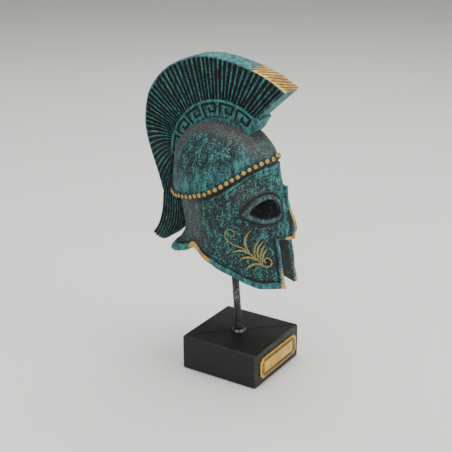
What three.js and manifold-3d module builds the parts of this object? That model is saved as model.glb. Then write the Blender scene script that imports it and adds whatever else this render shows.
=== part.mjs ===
// Small crested Greek helmet cast in bronze colour, held on a post over a square block.
// Millimetres, +Z up. The helmet looks along -Y, its mid-plane is X = 0, and the origin is the
// centre of the block's underside.
import * as THREE from 'three';
import { mergeVertices } from 'three/addons/utils/BufferGeometryUtils.js';
import Module from 'manifold-3d';

const wasm = await Module();
wasm.setup();

// ---------------------------------------------------------------- driving dimensions

const GAP = 0.3; // clearance between neighbouring pieces
const WALL = 3; // thickness of the cast bowl

// Level sections of the bowl from the crown down: height, half width, reach of the front and
// back on the mid-plane, where the section is widest, and two exponents for the front half
// (2 and 2 is an ellipse, smaller is more like a ship's prow).
const SECTIONS = [
  { z: 205.8, half: 0, front: 16, back: 16, widest: 16, keel: 2, flank: 2 },
  { z: 204.6, half: 10.5, front: 3.5, back: 28, widest: 16, keel: 2, flank: 1.8 },
  { z: 201.6, half: 18, front: -8.5, back: 37.5, widest: 15.5, keel: 2, flank: 1.7 },
  { z: 197, half: 23.8, front: -17.2, back: 45, widest: 15, keel: 1.95, flank: 1.6 },
  { z: 191, half: 28.6, front: -24.2, back: 51, widest: 14.5, keel: 1.9, flank: 1.5 },
  { z: 183, half: 32.2, front: -29.8, back: 56, widest: 13.5, keel: 1.85, flank: 1.45 },
  { z: 174, half: 34, front: -32.6, back: 58.6, widest: 12.5, keel: 1.8, flank: 1.4 },
  { z: 164, half: 34.6, front: -35, back: 59.6, widest: 11.5, keel: 1.75, flank: 1.35 },
  { z: 152, half: 34.3, front: -38.2, back: 60, widest: 10, keel: 1.7, flank: 1.32 },
  { z: 140, half: 33.4, front: -40.8, back: 60, widest: 9, keel: 1.65, flank: 1.28 },
  { z: 128, half: 32.4, front: -44.5, back: 58, widest: 8, keel: 1.6, flank: 1.2 },
  { z: 116, half: 31.8, front: -49.2, back: 56, widest: 7, keel: 1.5, flank: 1.12 },
  { z: 104, half: 31.6, front: -53.6, back: 54.5, widest: 7, keel: 1.45, flank: 1.05 },
  { z: 92, half: 31.6, front: -57.6, back: 54, widest: 7, keel: 1.4, flank: 1 },
  { z: 78, half: 31.6, front: -61.8, back: 54, widest: 7, keel: 1.4, flank: 1 },
];

// Height of the bead row round the bowl, by turn from the front (0) to the back (180 degrees).
const BEAD_LINE = [
  { turn: 0, z: 183.5 }, { turn: 16, z: 181 }, { turn: 27, z: 180.5 }, { turn: 45, z: 175.5 },
  { turn: 60, z: 168.5 }, { turn: 75, z: 161 }, { turn: 90, z: 155.5 }, { turn: 110, z: 149.5 },
  { turn: 135, z: 146 }, { turn: 180, z: 145 },
];

// Height of the lower edge: cheek tips, the rise to the notch at the ear, the neck guard.
const LOWER_EDGE = [
  { turn: 0, z: 82.5 }, { turn: 34, z: 80.5 }, { turn: 51, z: 79.5 }, { turn: 60, z: 83.5 },
  { turn: 70, z: 89.5 }, { turn: 84, z: 94.5 }, { turn: 101, z: 98.5 }, { turn: 119, z: 105.5 },
  { turn: 132, z: 100 }, { turn: 150, z: 96.5 }, { turn: 180, z: 94.5 },
];

const WAIST = { depth: 6, fall: 7, from: 70, to: 165 }; // bowl steps in under the beads
const NECK = { from: 108, to: 150, top: 117, foot: 98, reach: 12, power: 1.5 }; // neck guard flare
const SLIT = { half: 9, top: 120 }; // opening between the cheek guards
const BORDER = { width: 4.6, front: 2.4, wrap: 0.3, proud: 1.1, sunk: 1 }; // raised border

// Ridge over the eyes.
const BROW_LINE = [
  { turn: 0, z: 175.5 }, { turn: 19, z: 176 }, { turn: 30, z: 175 }, { turn: 44, z: 171.5 },
  { turn: 56, z: 165 }, { turn: 68, z: 158.5 },
];
const BROW = { width: 2, proud: 0.8 };

// Outline of the eye opening and of the rim round it, from the outer corner over the top to the
// nose and back along the bottom.
const EYE_HOLE = [
  { turn: 49.5, z: 141.8 }, { turn: 44.5, z: 146.5 }, { turn: 38, z: 150 }, { turn: 28.5, z: 151.8 },
  { turn: 20.5, z: 149 }, { turn: 17.5, z: 143 }, { turn: 21.5, z: 138.8 }, { turn: 30, z: 136.9 },
  { turn: 38, z: 136.5 }, { turn: 44.5, z: 138.5 },
];
const EYE_RIM = [
  { turn: 57, z: 140 }, { turn: 50.5, z: 148 }, { turn: 41.5, z: 153.6 }, { turn: 28.5, z: 156 },
  { turn: 17, z: 152.6 }, { turn: 14.4, z: 144 }, { turn: 18, z: 136.8 }, { turn: 28, z: 133.4 },
  { turn: 39, z: 132.6 }, { turn: 49.5, z: 135.4 },
];
const RIM_PROUD = 1.7;

// Nose guard sections from the brow down: height, half width, how far its ridge reaches.
const NASAL = [
  { z: 161, half: 2.8, ridge: -40.9 }, { z: 156, half: 2.8, ridge: -41.2 },
  { z: 151, half: 2.9, ridge: -41.5 }, { z: 145.5, half: 3.2, ridge: -43.3 },
  { z: 140, half: 3.7, ridge: -45.6 }, { z: 134, half: 4.3, ridge: -48.7 },
  { z: 128.5, half: 4.8, ridge: -49.9 }, { z: 124, half: 5.1, ridge: -48.4 },
  { z: 119.8, half: 5.2, ridge: -47.6 },
];

// Row of beads: how many each side of the middle one, and the size of a bead and of the strip.
const BEADS = { each: 23, pitch: 5, bead: { half: 2.3, proud: 2.3 }, strip: { half: 1.2, proud: 1 } };

// Crest: the holder is an arch about HUB, the plume fans out of it.
const HUB = { y: 14, z: 176 };
const HOLDER = { radius: 46.8, half: 9.2, front: 132, back: -4 };
const HOLDER_NOSE = [
  { y: -20.2, z: 212.6 }, { y: -17.8, z: 207.6 }, { y: -14, z: 203 }, { y: -8, z: 197 },
];
const KEY = { count: 6, step: 20.5, first: 116, low: 38.6, high: 44.2, line: 1.1, proud: 0.5 };
const ARCH_LINE = { low: 45.3, proud: 0.5 };

// Strands of the plume: number, where it leaves the holder (degrees about HUB, 0 is straight
// back), where it ends, and how far it bows upward.
const STRANDS = 48;
const PLUME = [
  { strand: 0, root: 131.5, y: -43.2, z: 235.4, bow: 0 },
  { strand: 6, root: 113.5, y: -21.5, z: 246.4, bow: 0 },
  { strand: 13, root: 91, y: 11.5, z: 254.4, bow: 0 },
  { strand: 19, root: 71, y: 36.2, z: 254, bow: 0 },
  { strand: 25, root: 50.5, y: 63, z: 243, bow: 0 },
  { strand: 30, root: 35.5, y: 79.5, z: 226, bow: 0 },
  { strand: 34, root: 25.5, y: 85.2, z: 209.5, bow: 0.3 },
  { strand: 38, root: 18, y: 86.2, z: 193, bow: 1 },
  { strand: 41, root: 11.5, y: 82.8, z: 177.5, bow: 2 },
  { strand: 44, root: 3, y: 77.6, z: 163.5, bow: 1.8 },
  { strand: 46, root: -4, y: 73.6, z: 152.5, bow: 1.5 },
  { strand: 48, root: -13, y: 69.9, z: 140.5, bow: 1.5 },
];
const PLUME_HALF = { tip: 10.8, body: 9, narrowing: 22 }; // half thickness and where it narrows
const GROOVE = { depth: 1.1, end: 0.95 };

// Tail of the plume: its outer and inner edge from the top down.
const TAIL_STRANDS = 8;
const TAIL = [
  { outY: 59.6, outZ: 163.1, inY: 57, inZ: 153 }, { outY: 62.4, outZ: 158.5, inY: 56.2, inZ: 148 },
  { outY: 65.4, outZ: 152.4, inY: 54.6, inZ: 141 }, { outY: 67.7, outZ: 145.9, inY: 52.6, inZ: 135 },
  { outY: 69.4, outZ: 139.1, inY: 51.2, inZ: 129 }, { outY: 70, outZ: 131, inY: 50.9, inZ: 123 },
  { outY: 71.3, outZ: 122, inY: 51.6, inZ: 116.5 }, { outY: 74.6, outZ: 111.5, inY: 54.8, inZ: 110 },
  { outY: 81.3, outZ: 100, inY: 60.7, inZ: 104 },
];
const TAIL_SAG = 3.5; // how far the cut end of the tail hangs below the line of its corners

// Ornament of each cheek in turn and height: strokes from a start over a bend to an end.
const STEM = [
  { turn: 71.3, z: 119.2, bendTurn: 67.5, bendZ: 115.6, endTurn: 60, endZ: 113.6, wide: 1.5 },
  { turn: 60, z: 113.6, bendTurn: 54.5, bendZ: 109.5, endTurn: 46.5, endZ: 100.2, wide: 1.8 },
];
const LEAVES = [
  { turn: 53.9, z: 108.3, bendTurn: 62.4, bendZ: 120.4, endTurn: 50.1, endZ: 128.9, wide: 1.6 },
  { turn: 50.9, z: 106, bendTurn: 52.9, bendZ: 114.8, endTurn: 45, endZ: 120.4, wide: 1.5 },
  { turn: 48.7, z: 104.2, bendTurn: 51, bendZ: 114.2, endTurn: 42.1, endZ: 119.4, wide: 1.5 },
  { turn: 47.6, z: 103, bendTurn: 47.5, bendZ: 112.1, endTurn: 41.3, endZ: 116.8, wide: 1.5 },
  { turn: 46.5, z: 101.8, bendTurn: 46.5, bendZ: 108.4, endTurn: 40.5, endZ: 113.5, wide: 1.5 },
  { turn: 53.9, z: 107.7, bendTurn: 60.7, bendZ: 114.5, endTurn: 68.8, endZ: 108.3, wide: 1.7 },
  { turn: 49.7, z: 103.2, bendTurn: 56.6, bendZ: 108.8, endTurn: 63.1, endZ: 102.9, wide: 2 },
  { turn: 46, z: 99.6, bendTurn: 54.2, bendZ: 103, endTurn: 58.6, endZ: 94.7, wide: 1.8 },
];
const SCROLLS = [
  { turn: 43.2, z: 102.8, start: -27, sweep: -385, wide: 5, narrow: 1.2, line: 1.4 },
  { turn: 68, z: 124.3, start: -57, sweep: 320, wide: 6, narrow: 1.6, line: 1.4 },
];
const RELIEF = 1; // height of the ornament

// Stand.
const BASE = { side: 70, height: 29, corner: 3.2, edge: 1.6 };
const POST = { radius: 3, foot: [-3, 0], sunk: 14, top: [0, 16, 201.7] };
const NUT = { flats: 10, height: 5 };
const PLAQUE = { wide: 57, tall: 17.5, thick: 1, notch: 2.6, z: 14.8 };
const PLAQUE_PANEL = { wide: 45, tall: 9.5, proud: 0.35 };

const DEG = Math.PI / 180;

// ---------------------------------------------------------------- shape of the bowl

const clamp = (value, low, high) => Math.min(high, Math.max(low, value));
const smooth = (low, high, value) => {
  const s = clamp((value - low) / (high - low), 0, 1);
  return s * s * (3 - 2 * s);
};

// Value of one column at a place between the rows of a table, on a Catmull-Rom curve.
function column(rows, key, place) {
  const i = clamp(Math.floor(place), 0, rows.length - 2);
  const f = place - i;
  const at = (k) => rows[clamp(k, 0, rows.length - 1)][key];
  const [a, b, c, d] = [at(i - 1), at(i), at(i + 1), at(i + 2)];
  return b + 0.5 * f * (c - a + f * (2 * a - 5 * b + 4 * c - d + f * (3 * (b - c) + d - a)));
}

// Straight-line value of a {turn, z} table.
function heightAt(rows, turn) {
  const angle = Math.abs(turn);
  const k = clamp(rows.findIndex((row) => row.turn >= angle), 1, rows.length - 1);
  const [a, b] = [rows[k - 1], rows[k]];
  return a.z + ((b.z - a.z) * (angle - a.turn)) / (b.turn - a.turn);
}

// Place in SECTIONS of a given height.
function placeOf(z) {
  let [low, high] = [0, SECTIONS.length - 1];
  for (let k = 0; k < 40; k += 1) {
    const middle = (low + high) / 2;
    if (column(SECTIONS, 'z', middle) > z) low = middle;
    else high = middle;
  }
  return (low + high) / 2;
}

// Point of the outer face at a turn (degrees from the front, + to +X) and a place in SECTIONS.
function outerPoint(turn, place) {
  const z = column(SECTIONS, 'z', place);
  const keys = ['half', 'front', 'back', 'widest', 'keel', 'flank'];
  const [half, front, back, widest, keel, flank] = keys.map((key) => column(SECTIONS, key, place));
  const angle = Math.abs(turn);
  const side = Math.sign(turn) || 1;
  const [s, c] = [Math.sin(angle * DEG), Math.cos(angle * DEG)];
  let x;
  let y;
  if (angle <= 90) {
    x = half * Math.pow(Math.max(s, 0), 2 / flank);
    y = widest - (widest - front) * Math.pow(Math.max(c, 0), 2 / keel);
  } else {
    x = half * s;
    y = widest - (back - widest) * c;
  }
  const stepIn = WAIST.depth * smooth(WAIST.from, WAIST.to, angle)
    * smooth(0, WAIST.fall, heightAt(BEAD_LINE, turn) - z);
  const flare = NECK.reach * smooth(NECK.from, NECK.to, angle)
    * Math.pow(Math.max(0, (NECK.top - z) / (NECK.top - NECK.foot)), NECK.power);
  const out = flare - stepIn;
  return new THREE.Vector3(side * (x + out * s), y - out * c, z);
}

// Outward direction of the outer face. Near the keel it turns to the mid-plane, so that a wall or
// relief laid along it never crosses over to the other side.
function outward(turn, place) {
  if (place < 0.02) return new THREE.Vector3(0, 0, 1);
  const along = outerPoint(turn + 1, place).sub(outerPoint(turn - 1, place));
  const lower = Math.min(place + 0.02, SECTIONS.length - 1);
  const down = outerPoint(turn, lower).sub(outerPoint(turn, place - 0.02));
  const normal = new THREE.Vector3().crossVectors(down, along);
  if (Math.abs(turn) < 90) normal.x *= Math.min(1, Math.abs(outerPoint(turn, place).x) / 8);
  return normal.normalize();
}

const offBowl = (turn, place, proud) => outerPoint(turn, place)
  .addScaledVector(outward(turn, place), proud);

// Point on the bowl at a turn and height, moved out by `proud`.
const onBowl = (turn, z, proud = 0) => offBowl(turn, placeOf(z), proud);

// Turn at which the front of the bowl is `x` from the mid-plane.
function turnAt(x, z) {
  const place = placeOf(z);
  const share = Math.abs(x) / column(SECTIONS, 'half', place);
  return (Math.sign(x) * Math.asin(Math.pow(share, column(SECTIONS, 'flank', place) / 2))) / DEG;
}

// ---------------------------------------------------------------- building closed bodies

const point = (x, y, z) => new THREE.Vector3(x, y, z);
const steps = (count, from, to) => Array.from(
  { length: count + 1 }, (_, k) => from + ((to - from) * k) / count);

function turnedOut(geometry) {
  const [p, index] = [geometry.attributes.position, geometry.index];
  const [a, b, c] = [point(), point(), point()];
  let volume = 0;
  for (let k = 0; k < index.count; k += 3) {
    a.fromBufferAttribute(p, index.getX(k));
    b.fromBufferAttribute(p, index.getX(k + 1));
    c.fromBufferAttribute(p, index.getX(k + 2));
    volume += a.dot(b.cross(c));
  }
  if (volume < 0) index.array.reverse();
  return geometry;
}

// Closed skin over rings of points. A ring of one point is a pole, `loop` joins the last ring
// to the first, and other ends are capped.
function skin(rings, loop = false) {
  const positions = rings.flat().flatMap((p) => [p.x, p.y, p.z]);
  const starts = [];
  rings.reduce((start, ring) => (starts.push(start), start + ring.length), 0);
  const faces = [];
  const count = Math.max(...rings.map((ring) => ring.length));
  const at = (ring, k) => starts[ring] + (rings[ring].length === 1 ? 0 : k % count);
  for (let r = 0; r < rings.length - (loop ? 0 : 1); r += 1) {
    const next = (r + 1) % rings.length;
    for (let k = 0; k < count; k += 1) {
      if (rings[r].length > 1) faces.push(at(r, k), at(r, k + 1), at(next, k));
      if (rings[next].length > 1) faces.push(at(r, k + 1), at(next, k + 1), at(next, k));
    }
  }
  const last = rings.length - 1;
  for (let k = 1; k < count - 1 && !loop; k += 1) {
    if (rings[0].length > 1) faces.push(at(0, 0), at(0, k + 1), at(0, k));
    if (rings[last].length > 1) faces.push(at(last, 0), at(last, k), at(last, k + 1));
  }
  const geometry = new THREE.BufferGeometry();
  geometry.setAttribute('position', new THREE.Float32BufferAttribute(positions, 3));
  geometry.setIndex(new THREE.BufferAttribute(new Uint32Array(faces), 1));
  return turnedOut(geometry);
}

// Closed slab between a left and a right grid of points of the same size.
function slab(grid) {
  const [rows, columns] = [grid.length, grid[0].length];
  const side = (x) => grid.flat().flatMap((p) => [x * p.x, p.y, p.z]);
  const faces = [];
  const [near, far] = [(r, c) => r * columns + c, (r, c) => (rows + r) * columns + c];
  const quad = (a, b, c, d) => faces.push(a, b, c, a, c, d);
  for (let r = 0; r < rows - 1; r += 1) {
    for (let c = 0; c < columns - 1; c += 1) {
      quad(near(r, c), near(r, c + 1), near(r + 1, c + 1), near(r + 1, c));
      quad(far(r, c), far(r + 1, c), far(r + 1, c + 1), far(r, c + 1));
    }
    quad(near(r, 0), near(r + 1, 0), far(r + 1, 0), far(r, 0));
    quad(near(r, columns - 1), far(r, columns - 1), far(r + 1, columns - 1), near(r + 1, columns - 1));
  }
  for (let c = 0; c < columns - 1; c += 1) {
    quad(near(0, c), far(0, c), far(0, c + 1), near(0, c + 1));
    quad(near(rows - 1, c), near(rows - 1, c + 1), far(rows - 1, c + 1), far(rows - 1, c));
  }
  const geometry = new THREE.BufferGeometry();
  geometry.setAttribute('position', new THREE.Float32BufferAttribute([...side(1), ...side(-1)], 3));
  geometry.setIndex(new THREE.BufferAttribute(new Uint32Array(faces), 1));
  return turnedOut(geometry);
}

function solid(geometry) {
  const bare = geometry.clone();
  bare.deleteAttribute('normal');
  bare.deleteAttribute('uv');
  const merged = mergeVertices(bare, 1e-4);
  return new wasm.Manifold(new wasm.Mesh({
    numProp: 3,
    vertProperties: new Float32Array(merged.attributes.position.array),
    triVerts: new Uint32Array(merged.index.array),
  }));
}

const joined = (bodies) => bodies.reduce((sum, body) => sum.add(body));

// Geometry of a solid, without loose crumbs that a cut has left.
function geometryOf(body) {
  const pieces = body.decompose();
  const main = pieces.reduce((best, piece) => (piece.volume() > best.volume() ? piece : best));
  const mesh = main.simplify(0.02).getMesh();
  const geometry = new THREE.BufferGeometry();
  geometry.setAttribute('position', new THREE.Float32BufferAttribute(mesh.vertProperties, 3));
  geometry.setIndex(new THREE.BufferAttribute(new Uint32Array(mesh.triVerts), 1));
  return geometry;
}

// Outline in the mid-plane (y, z) pushed out to both sides, from x = -half to +half.
function plate(outline, half) {
  const shape = new THREE.Shape(outline.map(({ y, z }) => new THREE.Vector2(y, z)));
  const geometry = new THREE.ExtrudeGeometry(shape, { depth: 2 * half, bevelEnabled: false });
  geometry.translate(0, 0, -half);
  const axes = new THREE.Matrix4().makeBasis(point(0, 1, 0), point(0, 0, 1), point(1, 0, 0));
  return solid(geometry.applyMatrix4(axes));
}

// ---------------------------------------------------------------- bowl

const COLUMNS = 52;
const turns = steps(COLUMNS, -180, 180).slice(0, COLUMNS);

// Rings of the bowl from the crown to the bead row and on to the lower edge.
function bowlRings(proud) {
  const rowsAbove = 6;
  const rowsBelow = 5;
  const rings = [[offBowl(0, 0, proud)]];
  for (let k = 1; k <= rowsAbove; k += 1) {
    const share = Math.pow(k / rowsAbove, 0.85);
    rings.push(turns.map((turn) => offBowl(turn, share * placeOf(heightAt(BEAD_LINE, turn)), proud)));
  }
  rings.push(turns.map((turn) => onBowl(turn, heightAt(BEAD_LINE, turn) - WAIST.fall / 2, proud)));
  for (let k = 0; k <= rowsBelow; k += 1) {
    rings.push(turns.map((turn) => {
      const [top, foot] = [heightAt(BEAD_LINE, turn) - WAIST.fall, heightAt(LOWER_EDGE, turn)];
      return onBowl(turn, top + ((foot - top) * k) / rowsBelow, proud);
    }));
  }
  return rings;
}

// Everything inside the bowl's outer face and a gap round it: what stands on the bowl is cut by it.
const filledBowl = (proud) => solid(skin([...bowlRings(proud), [point(0, 8, 100)]]));
const keepClear = filledBowl(GAP);

// Band that lies on the bowl between two heights, over a run of turns.
function bowlBand(list, low, high, inner, outer, loop) {
  return skin(list.map((turn) => [
    onBowl(turn, low(turn), inner), onBowl(turn, low(turn), outer),
    onBowl(turn, high(turn), outer), onBowl(turn, high(turn), inner),
  ]), loop);
}

const meanOut = (outline, side) => outline.reduce(
  (sum, { turn, z }) => sum.add(outward(side * turn, placeOf(z))), point(0, 0, 0)).normalize();

function eyeCutter(side) {
  const out = meanOut(EYE_HOLE, side);
  const ring = (reach) => EYE_HOLE.map(({ turn, z }) => onBowl(side * turn, z).addScaledVector(out, reach));
  return solid(skin([ring(-8), ring(5)]));
}

// Raised border along one edge of the face opening.
function faceBorder(side) {
  const [near, far] = [side * (SLIT.half - 0.6), side * (SLIT.half + BORDER.front)];
  return solid(skin(steps(5, heightAt(LOWER_EDGE, 34) + 0.4, SLIT.top - 0.5).map((z) => [
    onBowl(turnAt(near, z), z, -BORDER.sunk), onBowl(turnAt(near, z), z, BORDER.proud),
    onBowl(turnAt(far, z), z, BORDER.proud), onBowl(turnAt(far, z), z, -BORDER.sunk),
  ])));
}

function helmetShell() {
  const bowl = solid(skin([...bowlRings(0), ...bowlRings(-WALL).reverse()]));
  const edge = (turn) => heightAt(LOWER_EDGE, turn);
  const lowerBorder = solid(bowlBand(turns, (turn) => edge(turn) - BORDER.wrap,
    (turn) => edge(turn) + BORDER.width, -BORDER.sunk, BORDER.proud, true));
  const brow = (turn) => heightAt(BROW_LINE, turn);
  const ridge = solid(bowlBand(steps(20, -68, 68), (turn) => brow(turn) - BROW.width / 2,
    (turn) => brow(turn) + BROW.width / 2, -BORDER.sunk, BROW.proud, false));
  const slit = solid(new THREE.BoxGeometry(2 * SLIT.half, 80, 80)
    .translate(0, -55, SLIT.top - 40));
  const raised = joined([bowl, lowerBorder, ridge, faceBorder(-1), faceBorder(1)]);
  return geometryOf(raised.subtract(joined([slit, eyeCutter(-1), eyeCutter(1)])));
}

// ---------------------------------------------------------------- trim on the bowl

function nasalGuard() {
  const rings = NASAL.map(({ z, half, ridge }) => {
    const foot = onBowl(turnAt(half, z), z).y;
    const depth = foot - ridge;
    const right = [
      point(0.8, ridge, z), point(1.1, ridge + 0.25 * depth, z),
      point(half - 0.9, ridge + 0.4 * depth, z), point(half, foot - 0.6, z), point(half, foot + 4, z),
    ];
    const left = right.map((p) => point(-p.x, p.y, p.z)).reverse();
    return [...right, ...left];
  });
  return geometryOf(solid(skin(rings)).subtract(keepClear));
}

function eyeRim(side) {
  return skin(EYE_RIM.map((outer, k) => {
    const inner = EYE_HOLE[k];
    return [
      onBowl(side * inner.turn, inner.z, GAP), onBowl(side * inner.turn, inner.z, RIM_PROUD - 0.4),
      onBowl(side * outer.turn, outer.z, RIM_PROUD), onBowl(side * outer.turn, outer.z, GAP),
    ];
  }), true);
}

// Turn at a distance along the bead row from the middle of the front, negative to -X.
function beadTurn(distance) {
  let travelled = 0;
  let turn = 0;
  let last = onBowl(0, heightAt(BEAD_LINE, 0));
  while (travelled < Math.abs(distance)) {
    turn += 0.25;
    const here = onBowl(turn, heightAt(BEAD_LINE, turn));
    travelled += here.distanceTo(last);
    last = here;
  }
  return Math.sign(distance) * turn;
}

// Beads on one strip: the section swells at each bead and narrows to the strip between them.
function beadBand() {
  const section = (turn, { half, proud }) => {
    const z = heightAt(BEAD_LINE, turn);
    return [
      onBowl(turn, z, GAP), onBowl(turn, z - half, GAP),
      onBowl(turn, z - 0.5 * half, GAP + proud), onBowl(turn, z + 0.5 * half, GAP + proud),
      onBowl(turn, z + half, GAP),
    ];
  };
  const rings = steps(2 * BEADS.each, -BEADS.each, BEADS.each).flatMap((k) => [
    section(beadTurn((k - 0.46) * BEADS.pitch), BEADS.strip),
    section(beadTurn((k - 0.2) * BEADS.pitch), BEADS.bead),
    section(beadTurn((k + 0.2) * BEADS.pitch), BEADS.bead),
  ]);
  rings.push(section(beadTurn((BEADS.each + 0.46) * BEADS.pitch), BEADS.strip));
  return skin(rings);
}

// Raised line on the bowl through {turn, z} places, tapering to its end.
function reliefLine(places, side, wide, narrow) {
  return solid(skin(places.map((place, k) => {
    const before = places[Math.max(k - 1, 0)];
    const after = places[Math.min(k + 1, places.length - 1)];
    const [across, up] = [after.turn - before.turn, after.z - before.z];
    const length = Math.hypot(across, up);
    const width = wide + ((narrow - wide) * k) / (places.length - 1);
    const spot = (shift, proud) => onBowl(side * (place.turn + (shift * up) / length),
      place.z - (shift * across) / length, proud);
    return [spot(-width / 2, GAP), spot(0, GAP + RELIEF), spot(width / 2, GAP)];
  })));
}

function palmette(side) {
  const bend = (row) => steps(4, 0, 1).map((t) => {
    const mix = (a, b, c) => (1 - t) * (1 - t) * a + 2 * t * (1 - t) * b + t * t * c;
    return { turn: mix(row.turn, row.bendTurn, row.endTurn), z: mix(row.z, row.bendZ, row.endZ) };
  });
  const curl = (row) => steps(11, 0, 1).map((t) => {
    const [angle, radius] = [(row.start + row.sweep * t) * DEG, row.wide + (row.narrow - row.wide) * t];
    return { turn: row.turn + radius * Math.cos(angle), z: row.z + radius * Math.sin(angle) };
  });
  const lines = [
    ...STEM.map((row) => reliefLine(bend(row), side, row.wide, row.wide)),
    ...LEAVES.map((row) => reliefLine(bend(row), side, row.wide, 0.7)),
    ...SCROLLS.map((row) => reliefLine(curl(row), side, row.line, 1)),
  ];
  return geometryOf(joined(lines));
}

// ---------------------------------------------------------------- crest

const onArch = (degrees, radius) => ({
  y: HUB.y + radius * Math.cos(degrees * DEG), z: HUB.z + radius * Math.sin(degrees * DEG),
});

// Outline of one hook of the key pattern, a line of even width that turns square corners.
function keyHook(start) {
  const { step, low, high, line } = KEY;
  const route = [[0, 0], [0, 1], [0.72, 1], [0.72, 0.28], [0.36, 0.28], [0.36, 0.62]];
  const halfLine = line / 2;
  const tall = high - low;
  const wide = (step * DEG * (low + high)) / 2;
  const spots = route.map(([u, v]) => new THREE.Vector2(u * wide, v * tall));
  const sides = [1, -1].map((sign) => spots.map((spot, k) => {
    const before = spots[Math.max(k - 1, 0)];
    const after = spots[Math.min(k + 1, spots.length - 1)];
    const into = spot.clone().sub(before).normalize();
    const out = after.clone().sub(spot).normalize();
    const normal = (v) => new THREE.Vector2(-v.y, v.x);
    const shift = normal(k === 0 ? out : into);
    if (k > 0 && k < spots.length - 1) shift.add(normal(out));
    return spot.clone().addScaledVector(shift, sign * halfLine);
  }));
  return [...sides[0], ...sides[1].reverse()].map(({ x, y }) => (
    onArch(start - (x / wide) * step, low + y)));
}

function crestHolder() {
  const arch = steps(22, HOLDER.back, HOLDER.front).map((degrees) => onArch(degrees, HOLDER.radius));
  const inner = steps(6, HOLDER.front - 20, HOLDER.back).map((degrees) => onArch(degrees, 24));
  const body = plate([...arch, ...HOLDER_NOSE, ...inner], HOLDER.half);
  const line = [
    ...steps(16, HOLDER.back + 2, HOLDER.front - 2).map((degrees) => onArch(degrees, HOLDER.radius)),
    ...steps(16, HOLDER.front - 2, HOLDER.back + 2).map((degrees) => onArch(degrees, ARCH_LINE.low)),
  ];
  const raised = [plate(line, HOLDER.half + ARCH_LINE.proud)];
  for (let k = 0; k < KEY.count; k += 1) {
    raised.push(plate(keyHook(KEY.first - k * KEY.step), HOLDER.half + KEY.proud));
  }
  return geometryOf(joined([body, ...raised]).subtract(keepClear));
}

// Place along the strand table of a strand number.
function strandPlace(strand) {
  const k = clamp(PLUME.findIndex((row) => row.strand >= strand), 1, PLUME.length - 1);
  const [a, b] = [PLUME[k - 1].strand, PLUME[k].strand];
  return k - 1 + (strand - a) / (b - a);
}

function crestPlume() {
  const shares = [0, 0.45, GROOVE.end, 1];
  const grid = steps(2 * STRANDS, 0, STRANDS).map((strand, k) => {
    const place = strandPlace(strand);
    const at = (key) => column(PLUME, key, place);
    const root = onArch(at('root'), HOLDER.radius + GAP);
    const end = { y: at('y'), z: at('z') };
    const [dy, dz] = [end.y - root.y, end.z - root.z];
    const length = Math.hypot(dy, dz);
    const grooved = k % 2 === 1 ? 1 : 0;
    return shares.map((t) => {
      const rise = (4 * t * (1 - t) * at('bow')) / length;
      const half = PLUME_HALF.body
        + (PLUME_HALF.tip - PLUME_HALF.body) * t * Math.max(0, 1 - strand / PLUME_HALF.narrowing);
      const depth = t < 1 && strand > 1 ? GROOVE.depth * grooved : 0;
      return point(half - depth, root.y + dy * t - rise * dz, root.z + dz * t + rise * dy);
    });
  });
  return geometryOf(solid(slab(grid)).subtract(keepClear));
}

function crestTail() {
  const grid = steps(2 * TAIL_STRANDS, 0, 1).map((s, k) => steps(TAIL.length - 1, 0, TAIL.length - 1)
    .map((row) => {
      const { outY, outZ, inY, inZ } = TAIL[row];
      const sag = TAIL_SAG * 4 * s * (1 - s) * Math.pow(row / (TAIL.length - 1), 4);
      const depth = k % 2 === 1 ? GROOVE.depth : 0;
      return point(PLUME_HALF.body - depth, outY + (inY - outY) * s, outZ + (inZ - outZ) * s - sag);
    }));
  return geometryOf(solid(slab(grid)).subtract(filledBowl(BORDER.proud + GAP)));
}

// ---------------------------------------------------------------- stand

const postTop = point(...POST.top);
const postFoot = point(...POST.foot, BASE.height);
const postDirection = postTop.clone().sub(postFoot).normalize();

// Round bar on the post's line, from a distance before the foot to a distance past it.
function postBar(radius, from, to, sides = 16) {
  const bar = new THREE.CylinderGeometry(radius, radius, to - from, sides);
  bar.applyQuaternion(new THREE.Quaternion().setFromUnitVectors(point(0, 1, 0), postDirection));
  const centre = postFoot.clone().addScaledVector(postDirection, (from + to) / 2);
  return bar.translate(centre.x, centre.y, centre.z);
}

const standPost = () => postBar(POST.radius, -POST.sunk, postTop.distanceTo(postFoot));

function standNut() {
  const radius = NUT.flats / 2 / Math.cos(30 * DEG);
  const blank = new THREE.CylinderGeometry(radius, radius, NUT.height, 6).rotateX(90 * DEG);
  blank.translate(...POST.foot, BASE.height + GAP + NUT.height / 2);
  return geometryOf(solid(blank).subtract(solid(postBar(POST.radius + GAP, -10, 20))));
}

function standBase() {
  const half = BASE.side / 2 - BASE.edge;
  const corner = BASE.corner - BASE.edge;
  const shape = new THREE.Shape();
  [[1, -1, -90], [1, 1, 0], [-1, 1, 90], [-1, -1, 180]].forEach(([x, y, from]) => {
    shape.absarc(x * (half - corner), y * (half - corner), corner, from * DEG, (from + 90) * DEG, false);
  });
  const block = new THREE.ExtrudeGeometry(shape, {
    depth: BASE.height - 2 * BASE.edge, bevelThickness: BASE.edge, bevelSize: BASE.edge,
    bevelSegments: 2, curveSegments: 2,
  }).translate(0, 0, BASE.edge);
  return geometryOf(solid(block).subtract(solid(postBar(POST.radius + GAP, -POST.sunk - GAP, 20))));
}

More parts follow.
